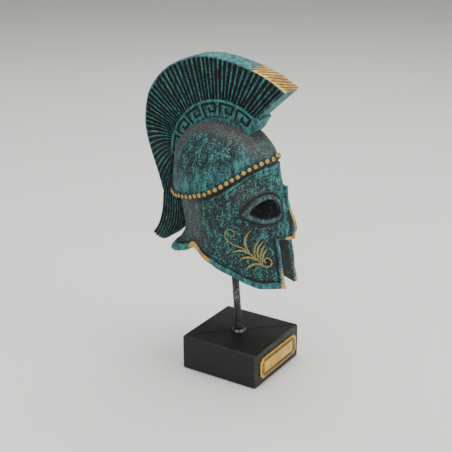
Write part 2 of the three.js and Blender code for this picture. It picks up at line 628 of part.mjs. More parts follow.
function basePlaque() {
  const [w, h, r] = [PLAQUE.wide / 2, PLAQUE.tall / 2, PLAQUE.notch];
  const shape = new THREE.Shape();
  [[1, 1, 270, 180], [-1, 1, 360, 270], [-1, -1, 90, 0], [1, -1, 180, 90]].forEach(([x, y, from, to]) => {
    shape.absarc(x * w, y * h, r, from * DEG, to * DEG, true);
  });
  const back = new THREE.ExtrudeGeometry(shape, {
    depth: PLAQUE.thick, bevelEnabled: false, curveSegments: 4,
  });
  const panel = new THREE.BoxGeometry(PLAQUE_PANEL.wide, PLAQUE_PANEL.tall, PLAQUE.thick)
    .translate(0, 0, PLAQUE.thick / 2 + PLAQUE_PANEL.proud);
  const plateBody = geometryOf(solid(back).add(solid(panel)));
  return plateBody.rotateX(90 * DEG).translate(0, -BASE.side / 2 - GAP, PLAQUE.z);
}

// ---------------------------------------------------------------- scene graph

const finish = (color, roughness, metalness) => new THREE.MeshStandardMaterial(
  { color, roughness, metalness });
const verdigris = finish(0x3f7f78, 0.7, 0.2);
const gilt = finish(0xc8a050, 0.45, 0.7);
const blackWood = finish(0x2d2d2d, 0.6, 0);
const steel = finish(0x55585a, 0.4, 0.8);
const brass = finish(0xc8a555, 0.35, 0.8);

const helmet = new THREE.Group();

function add(name, geometry, material) {
  const mesh = new THREE.Mesh(geometry, material);
  mesh.name = name;
  helmet.add(mesh);
}

add('helmet_shell', helmetShell(), verdigris);
add('nasal_guard', nasalGuard(), verdigris);
add('eye_rim_left', eyeRim(1), verdigris);
add('eye_rim_right', eyeRim(-1), verdigris);
add('bead_band', beadBand(), gilt);
add('palmette_left', palmette(1), gilt);
add('palmette_right', palmette(-1), gilt);
add('crest_holder', crestHolder(), verdigris);
add('crest_plume', crestPlume(), verdigris);
add('crest_tail', crestTail(), verdigris);
add('stand_post', standPost(), steel);
add('stand_nut', standNut(), steel);
add('stand_base', standBase(), blackWood);
add('base_plaque', basePlaque(), brass);

export default helmet;
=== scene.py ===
import math

import bmesh
import bpy
import numpy as np
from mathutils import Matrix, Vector, noise


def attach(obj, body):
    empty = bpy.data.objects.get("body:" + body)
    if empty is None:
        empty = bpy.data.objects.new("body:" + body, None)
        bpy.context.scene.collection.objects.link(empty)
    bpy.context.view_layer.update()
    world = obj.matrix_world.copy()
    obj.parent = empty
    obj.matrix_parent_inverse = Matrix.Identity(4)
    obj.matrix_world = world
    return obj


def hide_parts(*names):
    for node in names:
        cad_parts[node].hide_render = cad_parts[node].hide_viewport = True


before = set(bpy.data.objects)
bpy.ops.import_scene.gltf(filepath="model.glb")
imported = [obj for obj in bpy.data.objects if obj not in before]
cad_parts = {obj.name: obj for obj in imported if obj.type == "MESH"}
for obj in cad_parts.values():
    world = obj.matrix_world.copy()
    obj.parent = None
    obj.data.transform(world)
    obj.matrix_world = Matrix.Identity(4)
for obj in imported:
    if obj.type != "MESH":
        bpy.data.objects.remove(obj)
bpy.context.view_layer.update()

bl_info = {
    "name": "Crested Helmet",
    "version": (1, 0, 0),
    "blender": (4, 5, 0),
    "location": "View3D > Sidebar > Helmet",
    "description": "Builds a cast Greek helmet with its crest, on a post over a block",
    "category": "Add Mesh",
}

MM = 0.001  # the tables below are in millimetres, the meshes in metres


# ---- shape tables, millimetres

def table(columns, rows):
    """Columns of a table by name."""
    return dict(zip(columns.split(), np.array(rows, float).T))


# Level sections of the bowl from the crown down: height, half width, front and back on the
# mid-plane, where it is widest, and two exponents of the front half (2 is an ellipse).
SECTIONS = table("z half front back widest keel flank", [
    (205.8, 0, 16, 16, 16, 2, 2), (204.6, 10.5, 3.5, 28, 16, 2, 1.8),
    (201.6, 18, -8.5, 37.5, 15.5, 2, 1.7), (197, 23.8, -17.2, 45, 15, 1.95, 1.6),
    (191, 28.6, -24.2, 51, 14.5, 1.9, 1.5), (183, 32.2, -29.8, 56, 13.5, 1.85, 1.45),
    (174, 34, -32.6, 58.6, 12.5, 1.8, 1.4), (164, 34.6, -35, 59.6, 11.5, 1.75, 1.35),
    (152, 34.3, -38.2, 60, 10, 1.7, 1.32), (140, 33.4, -40.8, 60, 9, 1.65, 1.28),
    (128, 32.4, -44.5, 58, 8, 1.6, 1.2), (116, 31.8, -49.2, 56, 7, 1.5, 1.12),
    (104, 31.6, -53.6, 54.5, 7, 1.45, 1.05), (92, 31.6, -57.6, 54, 7, 1.4, 1),
    (78, 31.6, -61.8, 54, 7, 1.4, 1)])

# Lines round the bowl: turn from the front in degrees, height.
BEAD_LINE = table("turn z", [
    (0, 183.5), (16, 181), (27, 180.5), (45, 175.5), (60, 168.5), (75, 161), (90, 155.5),
    (110, 149.5), (135, 146), (180, 145)])
LOWER_EDGE = table("turn z", [
    (0, 82.5), (34, 80.5), (51, 79.5), (60, 83.5), (70, 89.5), (84, 94.5), (101, 98.5),
    (119, 105.5), (132, 100), (150, 96.5), (180, 94.5)])
BROW_LINE = table("turn z", [
    (0, 175.5), (19, 176), (30, 175), (44, 171.5), (56, 165), (68, 158.5), (90, 149)])

WAIST = {"depth": 6, "fall": 7, "from": 70, "to": 165}
NECK = {"from": 108, "to": 150, "top": 117, "foot": 98, "reach": 12, "power": 1.5}
SLIT = {"half": 9, "top": 120}

# Outlines of the eye opening and of the rim round it.
EYE_HOLE = table("turn z", [
    (49.5, 141.8), (44.5, 146.5), (38, 150), (28.5, 151.8), (20.5, 149), (17.5, 143),
    (21.5, 138.8), (30, 136.9), (38, 136.5), (44.5, 138.5)])
EYE_RIM = table("turn z", [
    (57, 140), (50.5, 148), (41.5, 153.6), (28.5, 156), (17, 152.6), (14.4, 144),
    (18, 136.8), (28, 133.4), (39, 132.6), (49.5, 135.4)])

# Nose guard from the brow down: height, half width, reach of its ridge.
NASAL = table("z half ridge", [
    (161, 2.8, -40.9), (156, 2.8, -41.2), (151, 2.9, -41.5), (145.5, 3.2, -43.3),
    (140, 3.7, -45.6), (134, 4.3, -48.7), (128.5, 4.8, -49.9), (124, 5.1, -48.4),
    (119.8, 5.2, -47.6)])

# Crest: the holder is an arch about HUB, and the plume fans out of it.
HUB = (14, 176)
HOLDER = {"radius": 46.8, "half": 9.2, "front": 132, "back": -4}
KEY = {"count": 6, "step": 22, "first": 111, "low": 35.2, "high": 43.9}

# Strands of the plume: number, root in degrees about HUB, end, and upward bow.
PLUME = table("strand root y z bow", [
    (0, 131.5, -43.2, 235.4, 0), (6, 113.5, -21.5, 246.4, 0), (13, 91, 11.5, 254.4, 0),
    (19, 71, 36.2, 254, 0), (25, 50.5, 63, 243, 0), (30, 35.5, 79.5, 226, 0),
    (34, 25.5, 85.2, 209.5, 0.3), (38, 18, 86.2, 193, 1), (41, 11.5, 82.8, 177.5, 2),
    (44, 3, 77.6, 163.5, 1.8), (46, -4, 73.6, 152.5, 1.5), (48, -13, 69.9, 140.5, 1.5)])
PLUME_HALF = {"tip": 10.8, "body": 9, "narrowing": 22}

# Tail of the plume: outer and inner edge from the top down.
TAIL = table("out_y out_z in_y in_z", [
    (59.6, 163.1, 57, 153), (62.4, 158.5, 56.2, 148), (65.4, 152.4, 54.6, 141),
    (67.7, 145.9, 52.6, 135), (69.4, 139.1, 51.2, 129), (70, 131, 50.9, 123),
    (71.3, 122, 51.6, 116.5), (74.6, 111.5, 54.8, 110), (81.3, 100, 60.7, 104)])
TAIL_SAG = 3.5

# Cheek ornament in turn and height: strokes from a start over a bend to an end, and scrolls.
STEM = [
    (71.3, 119.2, 67.5, 115.6, 60, 113.6, 1.5), (60, 113.6, 54.5, 109.5, 46.5, 100.2, 1.8)]
LEAVES = [
    (53.9, 108.3, 62.4, 120.4, 50.1, 128.9, 1.6), (50.9, 106, 52.9, 114.8, 45, 120.4, 1.5),
    (48.7, 104.2, 51, 114.2, 42.1, 119.4, 1.5), (47.6, 103, 47.5, 112.1, 41.3, 116.8, 1.5),
    (46.5, 101.8, 46.5, 108.4, 40.5, 113.5, 1.5), (53.9, 107.7, 60.7, 114.5, 68.8, 108.3, 1.7),
    (49.7, 103.2, 56.6, 108.8, 63.1, 102.9, 2), (46, 99.6, 54.2, 103, 58.6, 94.7, 1.8)]
SCROLLS = [  # centre, first angle, sweep, first and last radius, width
    (43.2, 102.8, -27, -385, 5, 1.2, 1.4), (68, 124.3, -57, 320, 6, 1.6, 1.4)]

HANDS = ((1, "left"), (-1, "right"))  # sign of X on each side
POST = {"foot": (-3, 0), "sunk": 14, "top": (0, 16, 201.7), "radius": 3, "rings": 90}
NUT = {"corner": 5.77}
BASE = {"side": 70, "height": 29, "corner": 2.2}
PLAQUE = {"wide": 57, "tall": 17.5, "thick": 1, "gap": 0.3, "notch": 2.6, "z": 14.8}
PANEL = {"wide": 45, "tall": 9.5, "proud": 0.3}
BORDER = {"line": 0.62, "tall": 2.1, "side_tall": 2.7, "units": 17, "side_units": 4,
          "deep": 0.12}


# ---- shape of the bowl

def smooth(low, high, value):
    """0 below low, 1 above high, and a soft step between."""
    s = np.clip((np.asarray(value, float) - low) / (high - low), 0, 1)
    return s * s * (3 - 2 * s)


def bump(value, middle, width):
    """Bell of height 1."""
    return np.exp(-(((np.asarray(value, float) - middle) / width) ** 2))


def curve(values, place):
    """Catmull-Rom value of a column at places between its rows."""
    place = np.asarray(place, float)
    last = len(values) - 1
    i = np.clip(np.floor(place).astype(int), 0, last - 1)
    f = place - i
    a, b, c, d = (values[np.clip(i + k, 0, last)] for k in (-1, 0, 1, 2))
    return b + 0.5 * f * (c - a + f * (2 * a - 5 * b + 4 * c - d + f * (3 * (b - c) + d - a)))


def ring_curve(values, place):
    """Catmull-Rom value of a closed column."""
    place = np.asarray(place, float)
    count = len(values)
    i = np.floor(place).astype(int)
    f = place - i
    a, b, c, d = (values[(i + k) % count] for k in (-1, 0, 1, 2))
    return b + 0.5 * f * (c - a + f * (2 * a - 5 * b + 4 * c - d + f * (3 * (b - c) + d - a)))


def height_at(line, turn, soften=2.0):
    """Height of a line round the bowl, its corners softened over a few degrees."""
    angle = np.abs(np.asarray(turn, float))
    shifts = np.linspace(-soften, soften, 5)
    return sum(np.interp(np.abs(angle + s), line["turn"], line["z"]) for s in shifts) / 5


def place_of(z):
    """Place in SECTIONS of a height."""
    low = np.zeros_like(np.asarray(z, float))
    high = np.full_like(low, len(SECTIONS["z"]) - 1)
    for _ in range(30):
        middle = (low + high) / 2
        above = curve(SECTIONS["z"], middle) > z
        low, high = np.where(above, middle, low), np.where(above, high, middle)
    return (low + high) / 2


def outer_point(turn, place):
    """Points of the bowl's outer face."""
    turn, place = np.broadcast_arrays(np.asarray(turn, float), np.asarray(place, float))
    z, half, front, back, widest, keel, flank = (curve(SECTIONS[k], place) for k in SECTIONS)
    angle = np.abs(turn)
    side = np.where(turn < 0, -1.0, 1.0)
    s = np.maximum(np.sin(np.radians(angle)), 0)
    c = np.cos(np.radians(angle))
    ahead = angle <= 90
    x = np.where(ahead, half * s ** (2 / flank), half * s)
    y = widest - np.where(
        ahead, (widest - front) * np.maximum(c, 0) ** (2 / keel), (back - widest) * c)
    step_in = WAIST["depth"] * smooth(WAIST["from"], WAIST["to"], angle) * smooth(
        0, WAIST["fall"], height_at(BEAD_LINE, turn) - z)
    fall = np.maximum(0, (NECK["top"] - z) / (NECK["top"] - NECK["foot"]))
    flare = NECK["reach"] * smooth(NECK["from"], NECK["to"], angle) * fall ** NECK["power"]
    out = flare - step_in
    return np.stack([side * (x + out * s), y - out * c, z], -1)


def outward(turn, place):
    """Outward direction, turned to the mid-plane near the keel so a wall never crosses it."""
    turn, place = np.broadcast_arrays(np.asarray(turn, float), np.asarray(place, float))
    across = outer_point(turn + 1, place) - outer_point(turn - 1, place)
    down = (outer_point(turn, np.minimum(place + 0.02, len(SECTIONS["z"]) - 1))
            - outer_point(turn, np.maximum(place - 0.02, 0)))
    normal = np.cross(down, across)
    near_keel = np.minimum(1, np.abs(outer_point(turn, place)[..., 0]) / 8)
    pull = np.where(np.abs(turn) < 90, near_keel, 1)
    normal[..., 0] *= pull
    normal[place < 0.02] = (0, 0, 1)
    return normal / np.maximum(np.linalg.norm(normal, axis=-1, keepdims=True), 1e-9)


def on_bowl(turn, z, proud=0.0):
    """Points on the bowl at a turn and height, moved out by proud."""
    turn, z, proud = np.broadcast_arrays(
        np.asarray(turn, float), np.asarray(z, float), np.asarray(proud, float))
    place = place_of(z)
    return outer_point(turn, place) + outward(turn, place) * proud[..., None]


def turn_at(x, z):
    """Turn at which the front of the bowl is x from the mid-plane."""
    place = place_of(z)
    share = np.abs(x) / curve(SECTIONS["half"], place)
    return np.sign(x) * np.degrees(np.arcsin(share ** (curve(SECTIONS["flank"], place) / 2)))


def inside_bowl(x, y, z):
    """Below 1 inside the bowl's upper part, above 1 outside it."""
    place = place_of(np.minimum(z, SECTIONS["z"][0] - 0.01))
    half, front, back, widest, keel, flank = (
        curve(SECTIONS[k], place) for k in ("half", "front", "back", "widest", "keel", "flank"))
    ahead = (np.maximum(widest - y, 0) / (widest - front)) ** keel + (np.abs(x) / half) ** flank
    behind = (np.maximum(y - widest, 0) / (back - widest)) ** 2 + (np.abs(x) / half) ** 2
    return np.where(z > SECTIONS["z"][0], 9.0, np.where(y < widest, ahead, behind))


def rough(points, size, seed):
    """Noise of about -1 to 1 at points in millimetres, with lumps of a size."""
    flat = points.reshape(-1, 3) / size + seed
    return np.array([noise.noise(Vector(p)) for p in flat]).reshape(points.shape[:-1]) * 2


# ---- meshes from primitives

def new_grid(rows, columns):
    """A selected grid primitive and the row and column of each of its vertices."""
    bpy.ops.mesh.primitive_grid_add(x_subdivisions=columns - 1, y_subdivisions=rows - 1, size=1)
    piece = bpy.context.object
    at = read(piece.data.vertices, "co", 3)
    row = np.rint((at[:, 1] + 0.5) * (rows - 1)).astype(int)
    column = np.rint((at[:, 0] + 0.5) * (columns - 1)).astype(int)
    return piece, row, column


def read(items, name, width):
    """One value of each item, as rows of a width."""
    values = np.zeros(len(items) * width)
    items.foreach_get(name, values)
    return values.reshape(-1, width)


def set_points(piece, points):
    """Moves a piece's vertices to points in millimetres."""
    piece.data.vertices.foreach_set("co", (points * MM).ravel())
    piece.data.update()


def get_points(piece):
    """A piece's vertices in millimetres."""
    return read(piece.data.vertices, "co", 3) / MM


def set_marks(piece, marks):
    """Stores how rubbed, how gilt and how brown each vertex is, for the materials; in places a low
    rubbed value is painted shade.
    """
    layer = piece.data.color_attributes.get("marks")
    if layer is None:
        layer = piece.data.color_attributes.new("marks", "FLOAT_COLOR", "POINT")
    full = np.ones((len(marks), 4))
    full[:, :3] = np.clip(marks, 0, 1)
    layer.data.foreach_set("color", full.ravel())


def pick(*pieces):
    """Selects only these pieces, the first one active."""
    bpy.ops.object.select_all(action="DESELECT")
    for piece in pieces:
        piece.select_set(True)
    bpy.context.view_layer.objects.active = pieces[0]


def edited(piece, *steps):
    """Runs edit mode steps on a whole piece, each an operator with its settings."""
    pick(piece)
    bpy.ops.object.mode_set(mode="EDIT")
    for step, settings in steps:
        bpy.ops.mesh.select_all(action="SELECT")
        step(**settings)
    bpy.ops.object.mode_set(mode="OBJECT")


def select_only(piece, mode, wanted):
    """Leaves only the wanted edges or faces selected, in edit mode."""
    bpy.ops.mesh.select_mode(type=mode)
    bpy.ops.mesh.select_all(action="DESELECT")
    shape = bmesh.from_edit_mesh(piece.data)
    for item in (shape.edges if mode == "EDGE" else shape.faces):
        if wanted(item):
            item.select_set(True)
    bmesh.update_edit_mesh(piece.data)


def close_up(piece, fill=False, turn_out=True):
    """Merges doubles, fills open ends if asked and points all faces outward."""
    mesh = bpy.ops.mesh
    steps = [(mesh.remove_doubles, {"threshold": 2e-6}), (mesh.fill_holes, {"sides": 0}),
             (mesh.dissolve_degenerate, {"threshold": 1e-6}),
             (mesh.normals_make_consistent, {"inside": False})]
    wanted = (True, fill, True, turn_out)
    edited(piece, *[step for step, use in zip(steps, wanted) if use])


def shaped_grid(name, points, marks, fill=False):
    """A grid primitive laid over rows of points, closed where its ends meet."""
    piece, row, column = new_grid(points.shape[0], points.shape[1])
    piece.name = name
    set_points(piece, points[row, column])
    set_marks(piece, marks[row, column])
    close_up(piece, fill)
    return piece


def joined(name, parts):
    """One piece from several."""
    pick(*parts)
    if len(parts) > 1:
        bpy.ops.object.join()
    piece = bpy.context.object
    piece.name = name
    return piece


def copy_of(model):
    """A copy of a piece with a mesh of its own."""
    copy = model.copy()
    copy.data = model.data.copy()
    bpy.context.collection.objects.link(copy)
    return copy


def modified(piece, kind, **settings):
    """Adds a modifier and applies it."""
    pick(piece)
    bpy.ops.object.modifier_add(type=kind)
    modifier = piece.modifiers[-1]
    for key, value in settings.items():
        setattr(modifier, key, value)
    bpy.ops.object.modifier_apply(modifier=modifier.name)


def hand_over(piece, node, slot, angle=40):
    """Gives a finished piece its shading, its slot's finish as material if it has none, and its
    body, and hides the imported part of its node.
    """
    pick(piece)
    bpy.ops.object.transform_apply(location=True, rotation=True, scale=True)
    bpy.ops.object.shade_smooth_by_angle(angle=math.radians(angle))
    if not piece.data.materials:
        piece.data.materials.append(finish(slot))
    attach(piece, "root")
    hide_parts(node)


def mark_grid(shape, rubbed=0.5, gilt=0.0, brown=0.0):
    """Marks over a grid, each a number or an array."""
    return np.stack([np.broadcast_to(np.asarray(v, float), shape)
                     for v in (rubbed, gilt, brown)], -1)


def tube(name, rings, marks, fill=True):
    """Closed rings of points along a path, capped at both ends."""
    shut = np.concatenate([rings, rings[:, :1]], 1)
    return shaped_grid(name, shut, np.concatenate([marks, marks[:, :1]], 1), fill)


def loop(name, rings, marks):
    """Closed rings of points round a closed path."""
    return tube(name, np.concatenate([rings, rings[:1]]), np.concatenate([marks, marks[:1]]),
                fill=False)


# ---- materials

MIX = {"data_type": "RGBA", "out": 2}  # inputs 0, 6 and 7: factor and the two colours
SOFT = {"interpolation_type": "SMOOTHSTEP"}
TIMES = {"operation": "MULTIPLY"}


def linear(hex_colour):
    """sRGB hex to linear colour."""
    parts = [int(hex_colour[k:k + 2], 16) / 255 for k in (1, 3, 5)]
    light = [p / 12.92 if p <= 0.04045 else ((p + 0.055) / 1.055) ** 2.4 for p in parts]
    return (*light, 1.0)


def add(tree, kind, *inputs, out=0, **settings):
    """Adds a node with its settings and gives one of its outputs.

    An input is a value or another node's output, in the node's order or by name in a dict."""
    node = tree.nodes.new("ShaderNode" + kind)
    for key, value in settings.items():
        setattr(node, key, value)
    named = inputs[0] if inputs and isinstance(inputs[0], dict) else dict(enumerate(inputs))
    for key, value in named.items():
        if isinstance(value, bpy.types.NodeSocket):
            tree.links.new(value, node.inputs[key])
        else:
            node.inputs[key].default_value = value
    return node.outputs[out] if node.outputs else node


def marks_of(tree):
    """How rubbed, gilt and brown the surface is, as set_marks stored it."""
    stored = add(tree, "Attribute", attribute_name="marks")
    return add(tree, "SeparateColor", stored).node.outputs


def lumps(tree, size, detail, roughness, scale=(1.0, 1.0, 1.0), distortion=0.0):
    """Noise with lumps of a size in millimetres, longer along an axis whose scale is below 1."""
    where = add(tree, "Mapping", {"Vector": add(tree, "TexCoord", out=3), "Scale": scale})
    return add(tree, "TexNoise", {"Vector": where, "Scale": 1 / (size * MM), "Detail": detail,
                                  "Roughness": roughness, "Distortion": distortion})


def total(tree, *terms, start=0.0):
    """Sum of values, each times its weight."""
    for value, weight in terms:
        start = add(tree, "Math", value, weight, start, operation="MULTIPLY_ADD")
    return start


def surface(tree, tone, relief=None, strength=0.0, depth=0.0, roughness=0.5, metallic=0.0,
            specular=0.5):
    """The shader, with a relief of a depth in millimetres."""
    inputs = {"Base Color": tone, "Roughness": roughness, "Metallic": metallic,
              "Specular IOR Level": specular}
    if relief is not None:
        inputs["Normal"] = add(tree, "Bump", {
            "Height": relief, "Strength": strength, "Distance": depth * MM})
    return add(tree, "OutputMaterial", add(tree, "BsdfPrincipled", inputs))


def patina(tree, colours):
    """Cast bronze under a near-black ground with verdigris brushed over what stands out.

    The ground stays in the pits, so the green breaks up at about a millimetre, and gilt paint
    is rubbed on the marked places."""
    rubbed, gilt, brown = marks_of(tree)
    pits = lumps(tree, 1.3, 3.0, 0.62)
    fine = lumps(tree, 0.6, 1.0, 0.5)
    patches = lumps(tree, 11, 3.0, 0.55)
    strokes = lumps(tree, 3.2, 2.0, 0.5, (1.0, 1.0, 0.35))
    hold = total(tree, (pits, 0.72), (patches, 0.16), (strokes, 0.12), (rubbed, 0.42), start=-0.21)
    green_here = add(tree, "MapRange", hold, 0.446, 0.531, **SOFT)
    thick = add(tree, "MapRange", strokes, 0.35, 0.66, **SOFT)
    green = add(tree, "Mix", {
        0: thick, 6: colours.verdigris_deep, 7: colours.verdigris_light}, **MIX)
    specks = add(tree, "Math", brown, add(tree, "MapRange", fine, 0.3, 0.7, **SOFT), **TIMES)
    ground = add(tree, "Mix", {0: specks, 6: colours.ground, 7: colours.brown}, **MIX)
    painted = add(tree, "Mix", {0: green_here, 6: ground, 7: green}, **MIX)
    dust = add(tree, "Math", brown, add(tree, "MapRange", pits, 0.38, 0.62, **SOFT), **TIMES)
    dust = add(tree, "Math", dust, 0.62, **TIMES)
    painted = add(tree, "Mix", {0: dust, 6: painted, 7: colours.brown}, **MIX)
    catches = total(tree, (gilt, 1.25), (pits, 1.1), start=-0.55)
    gold_here = add(tree, "MapRange", catches, 0.42, 0.68, **SOFT)
    redder = add(tree, "MapRange", patches, 0.4, 0.62, **SOFT)
    gold = add(tree, "Mix", {0: redder, 6: colours.gilt, 7: colours.copper}, **MIX)
    surface(tree, add(tree, "Mix", {0: gold_here, 6: painted, 7: gold}, **MIX),
            total(tree, (fine, 0.35), start=pits), 0.8, 0.45,
            metallic=add(tree, "Math", gold_here, 0.55, **TIMES),
            roughness=total(tree, (gold_here, -0.26), (pits, 0.08), start=0.68))


def gilt_paint(tree, colours):
    """Gold paint rubbed over dark bronze: bright on what stands out, copper in hollows, dark at
    the root."""
    rubbed, gilt, brown = marks_of(tree)
    pits = lumps(tree, 1.1, 3.0, 0.6)
    hold = total(tree, (rubbed, 0.9), (pits, 0.8))
    gold_here = add(tree, "MapRange", hold, 0.55, 0.95, **SOFT)
    clean = add(tree, "MapRange", gilt, 0.2, 0.9, **SOFT)
    gold = add(tree, "Mix", {0: clean, 6: colours.verdigris_gilt, 7: colours.gilt}, **MIX)
    gold = add(tree, "Mix", {0: brown, 6: gold, 7: colours.copper}, **MIX)
    green_here = add(tree, "MapRange", pits, 0.45, 0.6, **SOFT)
    ground = add(tree, "Mix", {0: green_here, 6: colours.ground, 7: colours.verdigris_deep}, **MIX)
    surface(tree, add(tree, "Mix", {0: gold_here, 6: ground, 7: gold}, **MIX), pits, 0.6, 0.3,
            metallic=add(tree, "Math", gold_here, 0.5, **TIMES),
            roughness=total(tree, (gold_here, -0.22), start=0.62))


def black_wood(tree, colours):
    """Close-grained wood under matt black paint: dull, faintly grained, grey on rubbed arrises."""
    grain = lumps(tree, 1.2, 3.0, 0.6, (0.06, 1.0, 1.0))
    cloud = lumps(tree, 18, 2.0, 0.5)
    tone = add(tree, "Mix", {0: cloud, 6: colours.block, 7: colours.block_worn}, **MIX)
    bare = add(tree, "MapRange", grain, 0.4, 0.7, **SOFT)
    worn = add(tree, "Math", marks_of(tree)[0], bare, **TIMES)
    surface(tree, add(tree, "Mix", {0: worn, 6: tone, 7: linear("#5a5856")}, **MIX),
            grain, 0.35, 0.08, roughness=total(tree, (cloud, 0.12), start=0.42), specular=0.36)


def rod_paint(tree, colours):
    """Black paint on a steel rod, scratched to grey primer in places."""
    scratch = lumps(tree, 1.3, 3.0, 0.6, (1.0, 1.0, 0.3), 1.2)
    bare = add(tree, "MapRange", scratch, 0.52, 0.6, **SOFT)
    here = add(tree, "Math", marks_of(tree)[0], bare, **TIMES)
    surface(tree, add(tree, "Mix", {0: here, 6: colours.rod, 7: linear("#8d8f92")}, **MIX),
            scratch, 0.4, 0.1, roughness=total(tree, (scratch, 0.25), start=0.3))


def blackened_steel(tree, colours):
    """Blackened steel nut: dark flats and bright steel where the corners are rubbed."""
    flecks = lumps(tree, 0.9, 3.0, 0.6)
    rub = total(tree, (marks_of(tree)[0], 0.5), start=flecks)
    bright = add(tree, "MapRange", rub, 0.62, 0.85, **SOFT)
    surface(tree, add(tree, "Mix", {0: bright, 6: colours.rod, 7: linear("#b9bbbd")}, **MIX),
            metallic=add(tree, "Math", bright, 0.9, **TIMES),
            roughness=total(tree, (flecks, -0.25), start=0.5))


def plaque_brass(tree, colours):
    """Rolled brass sheet: warm yellow, fine brushing along it, cloudy where it was handled."""
    brush = lumps(tree, 0.25, 2.0, 0.5, (0.03, 1.0, 1.0))
    cloud = add(tree, "MapRange", lumps(tree, 7, 3.0, 0.55), 0.35, 0.65, **SOFT)
    surface(tree, add(tree, "Mix", {0: cloud, 6: colours.brass, 7: colours.brass_light}, **MIX),
            brush, 0.2, 0.03, metallic=0.7, roughness=total(tree, (brush, 0.16), start=0.34))


def etched_brown(tree, colours):
    """Brown enamel that fills the etched lines of the plaque."""
    cloud = lumps(tree, 1.5, 2.0, 0.5)
    surface(tree, add(tree, "Mix", {0: cloud, 6: colours.etched, 7: linear("#5c411c")}, **MIX),
            roughness=0.5)


def studio_paper(tree, colours):
    """Matt paper of the floor and backdrop."""
    cloud = lumps(tree, 400, 1.0, 0.5)
    surface(tree, add(tree, "Mix", {0: cloud, 6: colours.paper, 7: linear("#e6e6e4")}, **MIX),
            roughness=0.9)


FINISHES = {
    "patinated_bronze": ("verdigris on cast bronze", patina),
    "gilt_bronze": ("gilt paint on bronze", gilt_paint),
    "black_wood": ("matt black painted wood", black_wood),
    "black_rod": ("black painted steel rod", rod_paint),
    "worn_steel": ("blackened steel", blackened_steel),
    "plaque_brass": ("brushed brass sheet", plaque_brass),
    "enamel": ("brown enamel fill", etched_brown),
    "paper": ("studio paper", studio_paper)}


def finish(key):
    """A finish's material, made the first time it is asked for."""
    name, maker = FINISHES[key]
    material = bpy.data.materials.get(name)
    if material is None:
        material = bpy.data.materials.new(name)
        material.use_nodes = True
        material.node_tree.nodes.clear()
        maker(material.node_tree, bpy.context.scene.helmet_colours)
    return material


# ---- bowl

def in_outline(u, v, outline_u, outline_v):
    """Which points lie inside a closed outline."""
    inside = np.zeros(u.shape, bool)
    for k in range(len(outline_u)):
        a, b = outline_v[k - 1], outline_v[k]
        if a == b:
            continue
        crosses = (a > v) != (b > v)
        edge = outline_u[k - 1] + (v - a) * (outline_u[k] - outline_u[k - 1]) / (b - a)
        inside ^= crosses & (u < edge)
    return inside


# Mesh of the bowl: columns round it, rows per band from the crown down, and the column that
# follows the edge of the face slit.
GRID = {"columns": 256, "crown": 44, "face": 72, "cheek": 22, "border": 16, "slit_column": 22}


def bowl_grid():
    """Turn and height of each vertex of the bowl, with a column on the edge of the face slit."""
    columns, slit_column = GRID["columns"], GRID["slit_column"]
    turn = np.linspace(-180, 180, columns + 1)
    bead = height_at(BEAD_LINE, turn)
    edge = height_at(LOWER_EDGE, turn, 1.5)
    near_edge = edge + 6.5
    steps = lambda count: np.linspace(0, 1, count + 1)[:-1, None]
    crown = curve(SECTIONS["z"], steps(GRID["crown"]) ** 0.85 * place_of(bead))
    upper = bead + (SLIT["top"] - bead) * steps(GRID["face"])
    cheek = SLIT["top"] + (near_edge - SLIT["top"]) * steps(GRID["cheek"])
    border = near_edge + (edge - near_edge) * np.linspace(0, 1, GRID["border"])[:, None]
    z = np.concatenate([crown, upper, cheek, border])
    turn = np.broadcast_to(turn, z.shape).copy()
    base = 360 / columns * slit_column
    angle = np.abs(turn)
    shift = (turn_at(SLIT["half"], np.minimum(z, 150)) - base) * smooth(
        SLIT["top"] + 8, SLIT["top"], z)
    spread = np.where(angle <= base, angle / base, np.clip(1 - (angle - base) / 25, 0, 1))
    turn = np.where(turn < 0, -1, 1) * (angle + shift * spread)
    return turn, z, GRID["crown"] + GRID["face"], columns // 2, slit_column


def rim_distance(angle, z):
    """Rough distance in millimetres from the outline of the eye rim."""
    around = np.linspace(0, len(EYE_RIM["turn"]), 121)[:-1]
    outline = zip(ring_curve(EYE_RIM["turn"], around), ring_curve(EYE_RIM["z"], around))
    best = np.full(angle.shape, 99.0)
    for turn, height in outline:
        best = np.minimum(best, np.hypot((angle - turn) * 0.6, z - height))
    return best


